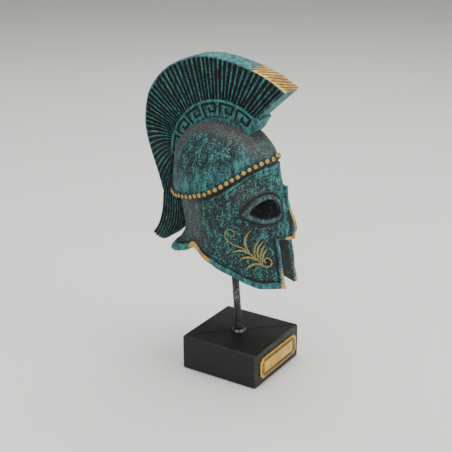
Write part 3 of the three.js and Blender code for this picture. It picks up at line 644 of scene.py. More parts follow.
def bowl_relief(turn, z):
    """How far the bowl's face stands out of its plain form, and its marks."""
    angle = np.abs(turn)
    x = np.abs(outer_point(turn, place_of(z))[..., 0])
    edge = z - height_at(LOWER_EDGE, turn, 1.5)
    bead = height_at(BEAD_LINE, turn)
    brow = height_at(BROW_LINE, turn)
    ahead = (angle < 60) & (z < SLIT["top"] + 0.01)
    from_slit = np.where(ahead, (x - SLIT["half"]) * 2, 99)
    border = np.maximum(smooth(5.2, 4.2, edge), smooth(3.5, 2.5, from_slit))
    rounded = 0.45 + 0.55 * np.minimum(smooth(0, 1.3, edge), smooth(0, 1.3, from_slit))
    groove = np.maximum(bump(edge, 5.7, 0.55), bump(from_slit, 4.2, 0.6)) * (1 - border)
    fade = smooth(78, 62, angle)
    ridge = fade * bump(z, brow, 1.15)
    second = fade * bump(z, brow - 3.6, 0.9)
    # Under the beads the face is sunk a little, and the same band is also marked less rubbed:
    # painted shadow of the bead row.
    sunk_and_shaded_under_beads = bump(z, bead - 3.6, 1.1)
    proud = 1.15 * border * rounded - 0.45 * groove + 0.95 * ridge + 0.4 * second
    proud = proud - 0.4 * fade * bump(z, brow - 1.9, 0.8) - 0.75 * sunk_and_shaded_under_beads
    rim = rim_distance(angle, z)  # a dark line is sunk round the eye rim
    proud = proud - 0.5 * bump(rim, 0, 0.9)
    dome = smooth(0, 3, z - bead)
    low_dome = bump(z - bead, 9, 9) * smooth(150, 120, angle)
    # Less rubbed under the beads, so less green there: painted shadow below the bead row.
    rubbed = 0.42 + 0.27 * border + 0.32 * ridge + 0.15 * second - 0.38 * groove - 0.5 * sunk_and_shaded_under_beads
    rubbed = rubbed - 0.55 * bump(rim, 0, 1.1)
    rubbed = rubbed + 0.16 * low_dome * dome + 0.12 * smooth(30, 0, angle) * (1 - dome)
    rubbed = rubbed - 0.12 * smooth(30, 12, x) * smooth(170, 192, z)
    rubbed = rubbed - 0.03 * (1 - dome) * smooth(20, 45, angle)
    brown = 0.8 * smooth(26, 12, x) * smooth(172, 190, z)
    brown = brown + 0.5 * smooth(92, 112, angle) * (1 - dome) * smooth(104, 118, z)
    brown = brown + 0.35 * bump(angle, 52, 14) * bump(z, 158, 9)
    brown = brown + 0.45 * smooth(118, 150, angle) * dome
    gilt = 0.8 * bump(angle, 117, 9) * smooth(5.6, 4.6, edge)
    gilt = gilt + 0.75 * bump(angle, 99, 8) * smooth(5.4, 3.6, edge) * smooth(0.3, 1.6, edge)
    gilt = gilt + 0.5 * smooth(3.2, 1.2, from_slit) * smooth(110, 92, z)
    gilt = gilt + 0.45 * smooth(4.8, 3.0, edge) * smooth(15, 10, x) * (angle < 60)
    return proud, np.stack([rubbed, gilt, brown], -1)


def build_bowl(sizes):
    """The bowl: a grid with the eyes and the face slit cut out, thickened inward."""
    turn, z, slit_row, middle, slit_column = bowl_grid()
    rows, columns = turn.shape
    around = np.linspace(0, len(EYE_HOLE["turn"]), 601)[:-1]
    hole_turn = ring_curve(EYE_HOLE["turn"], around)
    hole_z = ring_curve(EYE_HOLE["z"], around)
    dead = np.zeros((rows - 1, columns - 1), bool)
    mid = lambda values: (values[:-1, :-1] + values[1:, :-1] + values[:-1, 1:] + values[1:, 1:]) / 4
    dead[slit_row:, middle - slit_column:middle + slit_column] = True
    eyes = in_outline(np.abs(mid(turn)), mid(z), hole_turn, hole_z)
    touched = np.zeros((rows, columns), bool)
    kept = np.zeros((rows, columns), bool)
    for dr in (0, 1):
        for dc in (0, 1):
            touched[dr:rows - 1 + dr, dc:columns - 1 + dc] |= eyes
            kept[dr:rows - 1 + dr, dc:columns - 1 + dc] |= ~eyes
    for r, c in np.argwhere(touched & kept):
        near = np.argmin(((hole_turn - abs(turn[r, c])) * 0.55) ** 2 + (hole_z - z[r, c]) ** 2)
        turn[r, c] = np.sign(turn[r, c]) * hole_turn[near]
        z[r, c] = hole_z[near]
    dead |= eyes
    proud, marks = bowl_relief(turn, z)
    points = on_bowl(turn, z, proud)
    points += outward(turn, place_of(z)) * (rough(points, 9, 3) * 0.22)[..., None]

    piece, row, column = new_grid(rows, columns)
    piece.name = "cast_bowl"
    set_points(piece, points[row, column])
    set_marks(piece, marks[row, column])
    home = piece.data.attributes.new("turn_z", "FLOAT_VECTOR", "POINT")
    home.data.foreach_set("vector", np.stack(
        [turn[row, column], z[row, column], np.zeros(len(row))], -1).ravel())
    corners = read(piece.data.loops, "vertex_index", 1).astype(int).reshape(-1, 4)
    cut = dead[row[corners].min(1), column[corners].min(1)]
    bpy.ops.object.mode_set(mode="EDIT")
    select_only(piece, "FACE", lambda face: cut[face.index])
    bpy.ops.mesh.delete(type="FACE")
    bpy.ops.mesh.select_mode(type="VERT")
    bpy.ops.object.mode_set(mode="OBJECT")
    close_up(piece)

    outside = len(piece.data.vertices)
    wall = sizes.wall / MM
    modified(piece, "SOLIDIFY", thickness=sizes.wall, offset=-1, use_rim=True)
    homes = read(piece.data.attributes["turn_z"].data, "vector", 3)[outside:]
    at = get_points(piece)
    at[outside:] = on_bowl(homes[:, 0], homes[:, 1], -wall)
    set_points(piece, at)
    layer = piece.data.color_attributes["marks"]
    colours = read(layer.data, "color", 4)
    # The inner face is marked less rubbed than the outside, which paints shade inside the bowl; its
    # brown is dust.
    colours[outside:, :3] = (0.34, 0, 0.25)
    layer.data.foreach_set("color", colours.ravel())
    piece.data.attributes.remove(piece.data.attributes["turn_z"])
    modified(piece, "BEVEL", width=0.5 * MM, segments=2, limit_method="ANGLE",
             angle_limit=math.radians(52))
    hand_over(piece, "helmet_shell", "patinated_bronze")


# ---- nose guard and eye rims

NASAL_PROFILE = table("edge wide deep", [  # shares of the half width and of the depth
    (0, 0, 0), (0.6, 0.05, 0.03), (0.95, 0.1, 0.12), (0.8, 0.12, 0.24), (0, 0.45, 0.42),
    (-1.3, 1, 0.56), (-0.35, 1, 0.68), (0, 1, 0.8), (0, 1, 1), (0, 1, 1.35)])


def build_nose_guard():
    """The nose guard, a keeled bar on the mid-plane with a lip at its foot."""
    place = np.linspace(0, len(NASAL["z"]) - 1, 84)[:, None]
    z, half, ridge = (curve(NASAL[k], place) for k in NASAL)
    foot = on_bowl(turn_at(half, z), z)[..., 1]
    lip = smooth(123, 120.6, z)
    half = half + 0.55 * lip
    ridge = ridge - 0.7 * lip
    depth = foot - ridge
    along = np.linspace(0, len(NASAL_PROFILE["edge"]) - 1, 40)[None, :]
    edge, wide, deep = (curve(NASAL_PROFILE[k], along) for k in NASAL_PROFILE)
    x = edge + wide * half
    y = ridge + deep * depth
    right = np.stack(np.broadcast_arrays(x, y, z), -1)
    left = right[:, ::-1] * (-1, 1, 1)
    rings = np.concatenate([right, left[:, :-1]], 1)
    recess = bump(along, 4, 1.3) * smooth(152, 140, z)
    crest = bump(along, 1.2, 1.3)
    rubbed = 0.5 - 0.22 * recess + 0.3 * crest + 0.2 * bump(along, 7, 1)
    gilt = crest * smooth(152, 142, z) * 0.55 + lip * 0.9 * (along < 8)
    side = mark_grid(rubbed.shape, rubbed, gilt, 0.1)
    marks = np.concatenate([side, side[:, ::-1][:, :-1]], 1)
    piece = tube("cast_nose_guard", rings, marks)
    hand_over(piece, "nasal_guard", "patinated_bronze", 50)


RIM_PROFILE = table("across proud", [
    (0.0, -1.6), (-0.01, 0.3), (0.06, 1.1), (0.22, 1.6), (0.42, 1.75), (0.62, 1.6), (0.8, 1.2),
    (0.93, 0.6), (1.0, -0.2), (0.98, -0.8)])


def build_eye_rim(side, hand):
    """The raised rim round one eye opening."""
    around = np.linspace(0, len(EYE_HOLE["turn"]), 121)[:-1, None]
    across = RIM_PROFILE["across"][None, :]
    proud = RIM_PROFILE["proud"][None, :]
    turn = ring_curve(EYE_HOLE["turn"], around)
    turn = turn + (ring_curve(EYE_RIM["turn"], around) - turn) * across
    z = ring_curve(EYE_HOLE["z"], around)
    z = z + (ring_curve(EYE_RIM["z"], around) - z) * across
    rings = on_bowl(side * turn, z, np.broadcast_to(proud, turn.shape))
    rubbed = 0.08 + 0.4 * smooth(0.2, 1.6, proud)
    piece = loop("cast_eye_rim_" + hand, rings, mark_grid(turn.shape, rubbed, 0.0, 0.3))
    hand_over(piece, "eye_rim_" + hand, "patinated_bronze", 60)


# ---- beads and cheek ornament

BEAD = {"radius": (2.0, 2.35), "dimple": 0.28, "proud": 0.35, "wander": 0.15}  # dimple in radii


def build_beads(sizes):
    """The row of beads on a low strip round the bowl."""
    fine = np.linspace(0, 170, 1701)
    path = on_bowl(fine, height_at(BEAD_LINE, fine))
    run = np.concatenate([[0], np.cumsum(np.linalg.norm(np.diff(path, axis=0), axis=1))])
    each = sizes.beads_each_side
    pitch = sizes.bead_pitch / MM
    bpy.ops.mesh.primitive_uv_sphere_add(segments=20, ring_count=14, radius=1)
    model = bpy.context.object
    ball = read(model.data.vertices, "co", 3)
    off_axis = np.hypot(ball[:, 0], ball[:, 1])
    ahead = ball[:, 2] > 0
    ball[:, 2] -= BEAD["dimple"] * smooth(0.42, 0.1, off_axis) * ahead
    model.data.vertices.foreach_set("co", ball.ravel())
    ring = bump(off_axis, 0.5, 0.26) * ahead
    rubbed = 0.02 + 0.75 * ring + 0.35 * ahead * (off_axis < 0.3)
    brown = 0.85 * smooth(0.42, 0.15, off_axis) * ahead
    set_marks(model, mark_grid(ring.shape, rubbed, 0.9, brown))
    random = np.random.default_rng(7)
    parts = []
    for k in range(-each, each + 1):
        angle = math.copysign(np.interp(abs(k) * pitch, run, fine), k)
        wander = random.uniform(-BEAD["wander"], BEAD["wander"])
        height = float(height_at(BEAD_LINE, angle)) + wander
        out = Vector(outward(angle, place_of(height)))
        centre = Vector(on_bowl(angle, height, BEAD["proud"])) * MM
        copy = copy_of(model)
        radius = random.uniform(*BEAD["radius"]) * MM
        copy.matrix_world = (out.to_track_quat("Z", "Y").to_matrix() * radius).to_4x4()
        copy.matrix_world.translation = centre
        parts.append(copy)
    bpy.data.objects.remove(model)
    reach = math.ceil(np.interp(each * pitch, run, fine))
    turns = np.linspace(-reach, reach, 2 * reach + 1)[:, None]
    around = np.radians(np.linspace(0, 315, 8))[None, :]
    line = height_at(BEAD_LINE, turns)
    rings = on_bowl(turns, line + 1.25 * np.sin(around), 0.5 + 0.75 * np.cos(around))
    strip = tube("strip", rings, mark_grid(rings.shape[:2], 0.18, 0.3, 0.2))
    for part in parts:
        part.data.transform(part.matrix_world)
        part.matrix_world.identity()
    piece = joined("cast_beads", [strip, *parts])
    hand_over(piece, "bead_band", "gilt_bronze", 60)


def stroke(name, side, turn, z, width, height, gilt, copper):
    """Raised line on the bowl with a rounded back, of a width and height along it."""
    across, up = np.gradient(turn), np.gradient(z)
    length = np.hypot(across, up)
    lay = np.radians(np.array([-90, -72, -45, -20, 0, 20, 45, 72, 90]))
    spread = np.sin(lay)[None, :] * width[:, None] / 2
    proud = np.cos(lay)[None, :] * height[:, None] * 1.35 - 0.25
    rings = on_bowl(side * (turn[:, None] + spread * (up / length)[:, None] / 0.8),
                    z[:, None] - spread * (across / length)[:, None], proud)
    rubbed = -0.1 + 0.62 * np.cos(lay)[None, :] + 0 * proud
    return tube(name, rings, mark_grid(proud.shape, rubbed, gilt, copper))


def build_ornament(side, hand):
    """The stem, leaves and scrolls on one cheek."""
    parts = []
    t = np.linspace(0, 1, 26)
    ease = np.sqrt(np.clip(np.minimum(1, (1 - t) / 0.35), 0.02, 1))
    start = np.sqrt(np.clip(t / 0.12, 0.05, 1))
    rows = [(row, False, k) for k, row in enumerate(STEM)] + [
        (row, True, k) for k, row in enumerate(LEAVES)]
    for row, leaf, k in rows:
        bend = [(1 - t) ** 2 * row[i] + 2 * t * (1 - t) * row[i + 2] + t ** 2 * row[i + 4]
                for i in (0, 1)]
        swell = 1 + (0.35 * np.sin(np.pi * t) if leaf else 0)
        width = row[6] * swell * (start * ease if leaf else 1 + 0 * t)
        copper = 0.6 if leaf and k == 6 else 0.1
        gilt = 0.45 if leaf and k >= 5 else 0.25
        parts.append(stroke("leaf", side, *bend, width, 0.75 + 0.35 * ease, gilt, copper))
    t = np.linspace(0, 1, 60)
    for turn, z, first, sweep, far, near, width in SCROLLS:
        angle = np.radians(first + sweep * t)
        radius = far + (near - far) * t
        parts.append(stroke(
            "scroll", side, turn + radius * np.cos(angle), z + radius * np.sin(angle),
            width * (1 - 0.3 * t), 1 + 0 * t, 0.6 if turn < 50 else 0.05, 0.1))
    piece = joined("cast_ornament_" + hand, parts)
    hand_over(piece, "palmette_" + hand, "gilt_bronze", 60)


# ---- crest

def on_arch(degrees, radius):
    """y and z of points about the crest's hub."""
    angle = np.radians(degrees)
    return HUB[0] + radius * np.cos(angle), HUB[1] + radius * np.sin(angle)


def body_of_sides(name, x, y, z, marks, edge, edge_marks, ends=8):
    """Closed body from one side's rows (inner to outer) and columns, mirrored over the mid-plane.

    edge moves the outer face out of the line between the two sides, and its marks are given."""
    near = np.stack([x, y, z], -1).transpose(1, 0, 2)
    far = near[:, ::-1] * (-1, 1, 1)
    across = np.linspace(1, -1, edge.shape[1] + 2)[1:-1]
    rim = np.repeat(near[:, -1:], len(across), 1)
    rim[..., 0] *= across
    inward = near[:, -1] - near[:, -2]
    inward[:, 0] = 0
    inward /= np.maximum(np.linalg.norm(inward, axis=1, keepdims=True), 1e-9)
    rim += inward[:, None, :] * edge[..., None]
    side_marks = marks.transpose(1, 0, 2)
    rings = np.concatenate([near, rim, far], 1)
    ring_marks = np.concatenate([side_marks, edge_marks, side_marks[:, ::-1]], 1)
    first = [rings[0] * (k, 1, 1) for k in np.linspace(0, 1, ends)[:-1]]
    last = [rings[-1] * (k, 1, 1) for k in np.linspace(1, 0, ends)[1:]]
    rings = np.concatenate([first, rings, last])
    ring_marks = np.concatenate([np.repeat(ring_marks[:1], ends - 1, 0), ring_marks,
                                 np.repeat(ring_marks[-1:], ends - 1, 0)])
    return tube(name, rings, ring_marks, fill=True)


# Line of one key figure, in shares of its step and of its height.
KEY_ROUTE = [(0, 0), (0, 1), (0.72, 1), (0.72, 0.28), (0.36, 0.28), (0.36, 0.62)]


def key_distance(angle, radius):
    """Distance in millimetres to the nearest line of the key pattern."""
    tall = KEY["high"] - KEY["low"]
    wide = math.radians(KEY["step"]) * (KEY["low"] + KEY["high"]) / 2
    best = np.full(np.broadcast(angle, radius).shape, 99.0)
    for k in range(KEY["count"]):
        u = (angle - KEY["first"] + k * KEY["step"]) / KEY["step"] * wide
        v = radius - KEY["low"]
        for (u0, v0), (u1, v1) in zip(KEY_ROUTE, KEY_ROUTE[1:]):
            a = np.array([u0 * wide, v0 * tall])
            b = np.array([u1 * wide, v1 * tall])
            along = np.clip(((u - a[0]) * (b - a)[0] + (v - a[1]) * (b - a)[1])
                            / ((b - a) @ (b - a)), 0, 1)
            best = np.minimum(best, np.hypot(u - a[0] - along * (b - a)[0],
                                             v - a[1] - along * (b - a)[1]))
    return best


def build_holder():
    """The arched crest holder with its rail and engraved keys."""
    angle = np.linspace(HOLDER["front"] + 2.5, HOLDER["back"], 300)[None, :]
    outer = HOLDER["radius"] + 2.4 * smooth(127, 133, angle)
    test = np.linspace(20, 47, 271)[:, None]
    y, z = on_arch(angle, test)
    sunk = inside_bowl(HOLDER["half"] - 0.4, y, z) < 1
    inner = np.where(sunk, test, 0).max(0) - 1.2
    inner = np.minimum(inner, HOLDER["radius"] - 1.5)[None, :]
    share = np.linspace(0, 1, 56)[:, None]
    radius = inner + (outer - inner) * share
    front_slope = 3.5 * smooth(48, 38, radius) * smooth(122, 134, angle)
    y, z = on_arch(angle + front_slope, radius)
    rail = smooth(44.9, 45.7, radius) * smooth(0, 0.6, outer - radius + 0.2)
    keys = smooth(0.95, 0.55, key_distance(angle, radius))
    foot = bump(radius, KEY["low"] - 1.7, 0.5) * smooth(128, 122, angle)
    x = HOLDER["half"] + 0.55 * rail - 0.8 * keys - 0.35 * foot
    rubbed = 0.6 + 0.25 * rail - 1.4 * keys - 0.3 * foot
    brown = 0.35 * smooth(KEY["low"] - 1, KEY["low"] - 4, radius)
    marks = mark_grid(x.shape, rubbed, 0.0, brown)
    edge = np.zeros((x.shape[1], 5))
    edge_marks = mark_grid(edge.shape, 0.55)
    piece = body_of_sides("cast_crest_holder", x, y, z, marks, edge, edge_marks)
    hand_over(piece, "crest_holder", "patinated_bronze", 50)


# Cuts across the gilt tip of the plume: width of a strand, distance between two cuts, turns of
# slant across the edge and the strand where they end.
HATCH = {"strand": 3.3, "pitch": 3.1, "slant": 1.1, "last": 8}


def build_plume(sizes):
    """The fanned plume, a ridge and a groove to each strand."""
    strands = int(PLUME["strand"][-1])
    strand = np.linspace(0, strands, strands * 10 + 1)[None, :]
    place = np.interp(strand, PLUME["strand"], np.arange(len(PLUME["strand"])))
    root, end_y, end_z, bow = (curve(PLUME[k], place) for k in ("root", "y", "z", "bow"))
    root_y, root_z = on_arch(root, HOLDER["radius"] - 0.3)
    t = np.concatenate([np.linspace(0, 0.9, 30), np.linspace(0.915, 1, 9)])[:, None]
    dy, dz = end_y - root_y, end_z - root_z
    length = np.hypot(dy, dz)
    rise = 4 * t * (1 - t) * bow / length
    y = root_y + dy * t - rise * dz
    z = root_z + dz * t + rise * dy
    half = PLUME_HALF["body"] + (PLUME_HALF["tip"] - PLUME_HALF["body"]) * t * np.maximum(
        0, 1 - strand / PLUME_HALF["narrowing"])
    off_ridge = np.abs(strand - np.rint(strand))
    wander = 0.04 * np.sin(strand * 2.1 + t * 7)
    groove = smooth(0.12, 0.29, off_ridge + wander)
    ends = smooth(0.985, 0.93, t) * smooth(0.6, 1.2, strand)
    crown = 0.25 * bump(off_ridge, 0, 0.18)
    x = half - sizes.groove_depth / MM * groove * ends + crown * ends
    x = x - 0.7 * smooth(0.985, 1.0, t)
    rubbed = 0.5 - 0.95 * groove * ends + 0.25 * smooth(0.93, 0.99, t) + 0.1 * (1 - groove)
    rubbed = rubbed - 0.1 * smooth(0.3, 0.0, t)
    gilt = 0.6 * smooth(0.972, 0.995, t) * smooth(9, 7, strand)
    marks = mark_grid(x.shape, rubbed, gilt, 0.12 * smooth(30, 44, strand) + 0 * t)
    across = np.linspace(1, -1, 14)[1:-1][None, :]
    count = strand.T
    cut = smooth(HATCH["last"] + 0.6, HATCH["last"] - 0.6, count)
    run = count * HATCH["strand"]
    hatch = 0.5 + 0.5 * np.sin(2 * np.pi * (run / HATCH["pitch"] + across * HATCH["slant"]))
    flat = np.abs(across) < 0.86
    strokes = 0.5 + 0.5 * np.sin(across * 14 + 2.5 * np.sin(run / 4.0))
    edge = 0.55 - 0.45 * hatch * cut * flat - 0.3 * strokes * (1 - cut) * flat - 0.35 * (1 - flat)
    edge_rubbed = 0.72 - 0.75 * hatch * cut * flat - 0.18 * strokes * (1 - cut)
    edge_marks = mark_grid(edge.shape, edge_rubbed, 0.95 * cut * (1 - 0.75 * hatch * flat))
    piece = body_of_sides("cast_plume", x, y, z, marks, edge, edge_marks, ends=12)
    hand_over(piece, "crest_plume", "patinated_bronze", 50)


def build_tail(sizes):
    """The hanging tail of the plume."""
    rows = len(TAIL["out_y"])
    place = np.linspace(0, rows - 1, 72)[None, :]
    share = np.linspace(0, 1, 81)[:, None]
    out_y, out_z, in_y, in_z = (curve(TAIL[k], place) for k in TAIL)
    strand = share * 8
    off_ridge = np.abs(strand - np.rint(strand))
    groove = smooth(0.13, 0.3, off_ridge)
    sag = TAIL_SAG * 4 * share * (1 - share) * (place / (rows - 1)) ** 4
    tip = smooth(rows - 2, rows - 1, place)
    uneven = (0.8 - 2 * (2 * share - 1) ** 2) * tip
    y = out_y + (in_y - out_y) * share
    z = out_z + (in_z - out_z) * share - sag - uneven
    x = PLUME_HALF["body"] - sizes.groove_depth / MM * groove + 0.2 * bump(off_ridge, 0, 0.18)
    x = x - 0.8 * smooth(rows - 1.25, rows - 1, place)
    rubbed = 0.55 - 0.85 * groove + 0 * place
    marks = mark_grid(x.shape, rubbed, 0.0, 0.15)
    edge = np.zeros((x.shape[1], 5))
    piece = body_of_sides("cast_tail", x, y, z, marks, edge, mark_grid(edge.shape, 0.5), ends=8)
    hand_over(piece, "crest_tail", "patinated_bronze", 50)


# ---- stand

def build_post():
    """The leaning rod, a little uneven as if bent by hand."""
    foot = Vector((*POST["foot"], BASE["height"]))
    top = Vector(POST["top"])
    way = (top - foot).normalized()
    foot = foot - way * POST["sunk"]
    length = (top - foot).length
    bpy.ops.mesh.primitive_cylinder_add(vertices=32, radius=POST["radius"] * MM, depth=length * MM)
    piece = bpy.context.object
    piece.name = "steel_rod"
    levels = length * MM * (np.arange(1, POST["rings"]) / POST["rings"] - 0.5)
    edited(piece, (bpy.ops.mesh.bevel, {"offset": 0.4 * MM, "segments": 2, "affect": "EDGES"}),
           *[(bpy.ops.mesh.bisect, {"plane_co": (0, 0, z), "plane_no": (0, 0, 1)}) for z in levels])
    at = get_points(piece)
    at[:, :2] *= 1 + 0.025 * rough(at, 7, 5)[:, None]
    set_points(piece, at)
    piece.matrix_world = way.to_track_quat("Z", "Y").to_matrix().to_4x4()
    piece.location = (foot + top) / 2 * MM
    bpy.ops.object.transform_apply(location=True, rotation=True, scale=True)
    z = get_points(piece)[:, 2]
    scuff = 0.95 * bump(z, 62, 9) + 0.25 * bump(z, 36, 6)
    set_marks(piece, mark_grid(z.shape, scuff))
    hand_over(piece, "stand_post", "black_rod", 60)


def build_nut(sizes):
    """The hexagon nut at the foot of the rod."""
    bpy.ops.mesh.primitive_cylinder_add(
        vertices=6, radius=NUT["corner"] * MM, depth=sizes.nut_height,
        location=(POST["foot"][0] * MM, 0, BASE["height"] * MM + sizes.nut_height / 2 + 0.1 * MM),
        rotation=(0, 0, math.radians(30)))
    piece = bpy.context.object
    piece.name = "hexagon_nut"
    edited(piece, (bpy.ops.mesh.bevel, {"offset": 0.55 * MM, "segments": 3, "affect": "EDGES"}),
           (bpy.ops.mesh.subdivide, {"number_cuts": 2}))
    bpy.ops.object.transform_apply(location=True, rotation=True, scale=True)
    at = get_points(piece)
    reach = np.hypot(at[:, 0] - POST["foot"][0], at[:, 1])
    set_marks(piece, mark_grid(reach.shape, smooth(4.7, 5.4, reach)))
    hand_over(piece, "stand_nut", "worn_steel", 40)


def build_block(sizes):
    """The block with rounded corners and softened edges."""
    side, height = BASE["side"] * MM, BASE["height"] * MM
    bpy.ops.mesh.primitive_cube_add(size=1, location=(0, 0, height / 2), scale=(side, side, height))
    piece = bpy.context.object
    piece.name = "wooden_block"
    bpy.ops.object.transform_apply(location=True, rotation=True, scale=True)
    bpy.ops.object.mode_set(mode="EDIT")
    drop = lambda edge: abs(edge.verts[0].co.z - edge.verts[1].co.z)
    select_only(piece, "EDGE", lambda edge: drop(edge) > height / 2)
    bpy.ops.mesh.bevel(offset=BASE["corner"] * MM, segments=6, affect="EDGES")
    select_only(piece, "EDGE", lambda edge: drop(edge) < height / 10)
    bpy.ops.mesh.bevel(offset=sizes.block_edge, segments=5, affect="EDGES")
    select_only(piece, "FACE", lambda face: face.calc_area() > 0.5 * side * height)
    bpy.ops.mesh.inset(thickness=1.2 * MM, use_individual=True)
    bpy.ops.object.mode_set(mode="OBJECT")
    at = get_points(piece)
    flat = ((np.abs(at[:, :2]).max(1) > BASE["side"] / 2 - 0.01)
            | (at[:, 2] > BASE["height"] - 0.01) | (at[:, 2] < 0.01))
    set_marks(piece, mark_grid(flat.shape, np.where(flat, 0.0, 0.5)))
    hand_over(piece, "stand_base", "black_wood", 35)


def flat_box(x0, x1, z0, z1, front, back):
    """Box primitive between two levels in front of the block, in millimetres."""
    bpy.ops.mesh.primitive_cube_add(
        size=1, location=((x0 + x1) / 2 * MM, (front + back) / 2 * MM, (z0 + z1) / 2 * MM),
        scale=(abs(x1 - x0) * MM, abs(back - front) * MM, abs(z1 - z0) * MM))
    bpy.ops.object.transform_apply(location=True, rotation=True, scale=True)
    return bpy.context.object


MEANDER = [(0, 0), (0, 1), (0.72, 1), (0.72, 0.35), (0.38, 0.35)]  # one unit of the border line


def meander_run(length, count, tall):
    """Flat line of key units along X from 0 to length, as rectangles (x0, x1, z0, z1)."""
    step, line = length / count, BORDER["line"]
    boxes = []
    for k in range(count):
        route = [(k * step + u * step, v * tall) for u, v in MEANDER]
        for (x0, z0), (x1, z1) in zip(route, route[1:]):
            boxes.append((min(x0, x1) - line / 2, max(x0, x1) + line / 2,
                          min(z0, z1) - line / 2, max(z0, z1) + line / 2))
    boxes.append((-line / 2, length + line / 2, -line / 2, line / 2))
    return boxes


def build_plaque():
    """The brass sheet with concave corners, its panel and its key border."""
    wide, tall = PLAQUE["wide"] / 2, PLAQUE["tall"] / 2
    low, high = PLAQUE["z"] - tall, PLAQUE["z"] + tall
    back = -BASE["side"] / 2
    front = back - PLAQUE["gap"] - PLAQUE["thick"]
    sheet = flat_box(-wide, wide, low, high, front, back - 0.02)
    sheet.name = "brass_plaque"
    for x in (-wide, wide):
        for z in (low, high):
            bpy.ops.mesh.primitive_cylinder_add(
                vertices=48, radius=PLAQUE["notch"] * MM, depth=8 * MM,
                location=(x * MM, back * MM, z * MM), rotation=(math.radians(90), 0, 0))
            cutter = bpy.context.object
            modified(sheet, "BOOLEAN", operation="DIFFERENCE", object=cutter)
            bpy.data.objects.remove(cutter)
    modified(sheet, "BEVEL", width=0.18 * MM, segments=2, limit_method="ANGLE",
             angle_limit=math.radians(40))
    panel = flat_box(-PANEL["wide"] / 2, PANEL["wide"] / 2, PLAQUE["z"] - PANEL["tall"] / 2,
                     PLAQUE["z"] + PANEL["tall"] / 2, front - PANEL["proud"], front + 0.4)
    modified(panel, "BEVEL", width=0.28 * MM, segments=3, limit_method="ANGLE")
    for part in (sheet, panel):
        part.data.materials.clear()
        part.data.materials.append(finish("plaque_brass"))
    reach_x, reach_z = PANEL["wide"] / 2 + 1.0, PANEL["tall"] / 2 + 0.55
    lines = []
    for x0, x1, z0, z1 in meander_run(2 * reach_x, BORDER["units"], BORDER["tall"]):
        for side in (1, -1):
            levels = sorted((side * (reach_z + z0), side * (reach_z + z1)))
            lines.append((x0 - reach_x, x1 - reach_x, *levels))
    for z0, z1, x0, x1 in meander_run(2 * reach_z, BORDER["side_units"], BORDER["side_tall"]):
        for side in (1, -1):
            places = sorted((side * (reach_x + x0), side * (reach_x + x1)))
            lines.append((*places, z0 - reach_z, z1 - reach_z))
    model = flat_box(-0.5, 0.5, -0.5, 0.5, -0.5, 0.5)
    parts = []
    for x0, x1, z0, z1 in lines:
        copy = copy_of(model)
        middle = ((x0 + x1) / 2, front - 0.02, PLAQUE["z"] + (z0 + z1) / 2)
        set_points(copy, get_points(copy) * (x1 - x0, BORDER["deep"], z1 - z0) + middle)
        copy.data.materials.append(finish("enamel"))
        parts.append(copy)
    bpy.data.objects.remove(model)
    piece = joined("brass_plaque", [sheet, panel, *parts])
    hand_over(piece, "base_plaque", "plaque_brass", 35)


# ---- studio

ROOM = {"radius": 2600, "fillet": 700, "height": 2600}
LIGHTS = [  # place and target in metres, size, watts and tint
    ("overhead_softbox", (0.15, 0.1, 1.5), (0, 0, 0.1), 1.4, 33.0, (1, 1, 1)),
    ("left_softbox", (-1.5, -0.5, 0.8), (0, 0, 0.15), 1.0, 7.0, (1, 1, 1)),
    ("front_softbox", (0.2, -1.6, 0.7), (0, 0, 0.12), 1.0, 15.0, (1, 0.98, 0.95))]
WORLD = {"colour": "#dfe1e2", "strength": 1.12}
CAMERA = {"lens": 79.65, "sensor": 36, "place": (-0.63532, -0.38868, 0.39920),
          "target": (0.02674, 0.03169, 0.10570)}  # metres


def build_studio():
    """Paper floor that curves up to a wall all round, soft lights and even air light."""
    angle = np.radians(np.linspace(0, 360, 97))[None, :]
    bend = np.radians(np.linspace(0, 90, 13))
    floor, fillet = ROOM["radius"], ROOM["fillet"]
    radius = np.concatenate([[1, 600, 1500], floor + fillet * np.sin(bend), [floor + fillet]])
    height = np.concatenate([[0, 0, 0], fillet * (1 - np.cos(bend)), [ROOM["height"]]])
    radius, height = radius[:, None], height[:, None]
    points = np.stack([radius * np.cos(angle), radius * np.sin(angle), height + 0 * angle], -1)
    paper, row, column = new_grid(*points.shape[:2])
    paper.name = "studio_floor"
    set_points(paper, points[row, column])
    close_up(paper, fill=True, turn_out=False)
    bpy.ops.object.shade_smooth()
    paper.data.materials.append(finish("paper"))

    for name, place, target, size, power, tint in LIGHTS:
        light = bpy.data.lights.new(name, "AREA")
        light.shape = "SQUARE"
        light.size = size
        light.energy = power
        light.color = tint
        lamp = bpy.data.objects.new(name, light)
        lamp.location = place
        lamp.rotation_euler = (Vector(target) - Vector(place)).to_track_quat("-Z", "Y").to_euler()
        bpy.context.scene.collection.objects.link(lamp)
    world = bpy.data.worlds.new("studio_air")
    world.use_nodes = True
    world.node_tree.nodes["Background"].inputs[0].default_value = linear(WORLD["colour"])
    world.node_tree.nodes["Background"].inputs[1].default_value = WORLD["strength"]
    bpy.context.scene.world = world


def build_camera():
    """The camera, a long lens from ahead, the right and above."""
    camera = bpy.data.cameras.new("camera")
    camera.lens = CAMERA["lens"]
    camera.sensor_width = CAMERA["sensor"]
    camera.clip_start = 0.01
    view = bpy.data.objects.new("camera", camera)
    place, target = Vector(CAMERA["place"]), Vector(CAMERA["target"])
    view.location = place
    view.rotation_euler = (target - place).to_track_quat("-Z", "Y").to_euler()
    bpy.context.scene.collection.objects.link(view)
    bpy.context.scene.camera = view


# ---- add-on

def length(name, description, millimetres, **limits):
    """Length property given in millimetres."""
    return bpy.props.FloatProperty(name=name, description=description, default=millimetres * MM,
                                   unit="LENGTH", precision=4, **limits)


def colour(name, description, hex_colour):
    """Colour property given as sRGB hex."""
    return bpy.props.FloatVectorProperty(name=name, description=description, subtype="COLOR",
                                         size=4, min=0, max=1, default=linear(hex_colour))


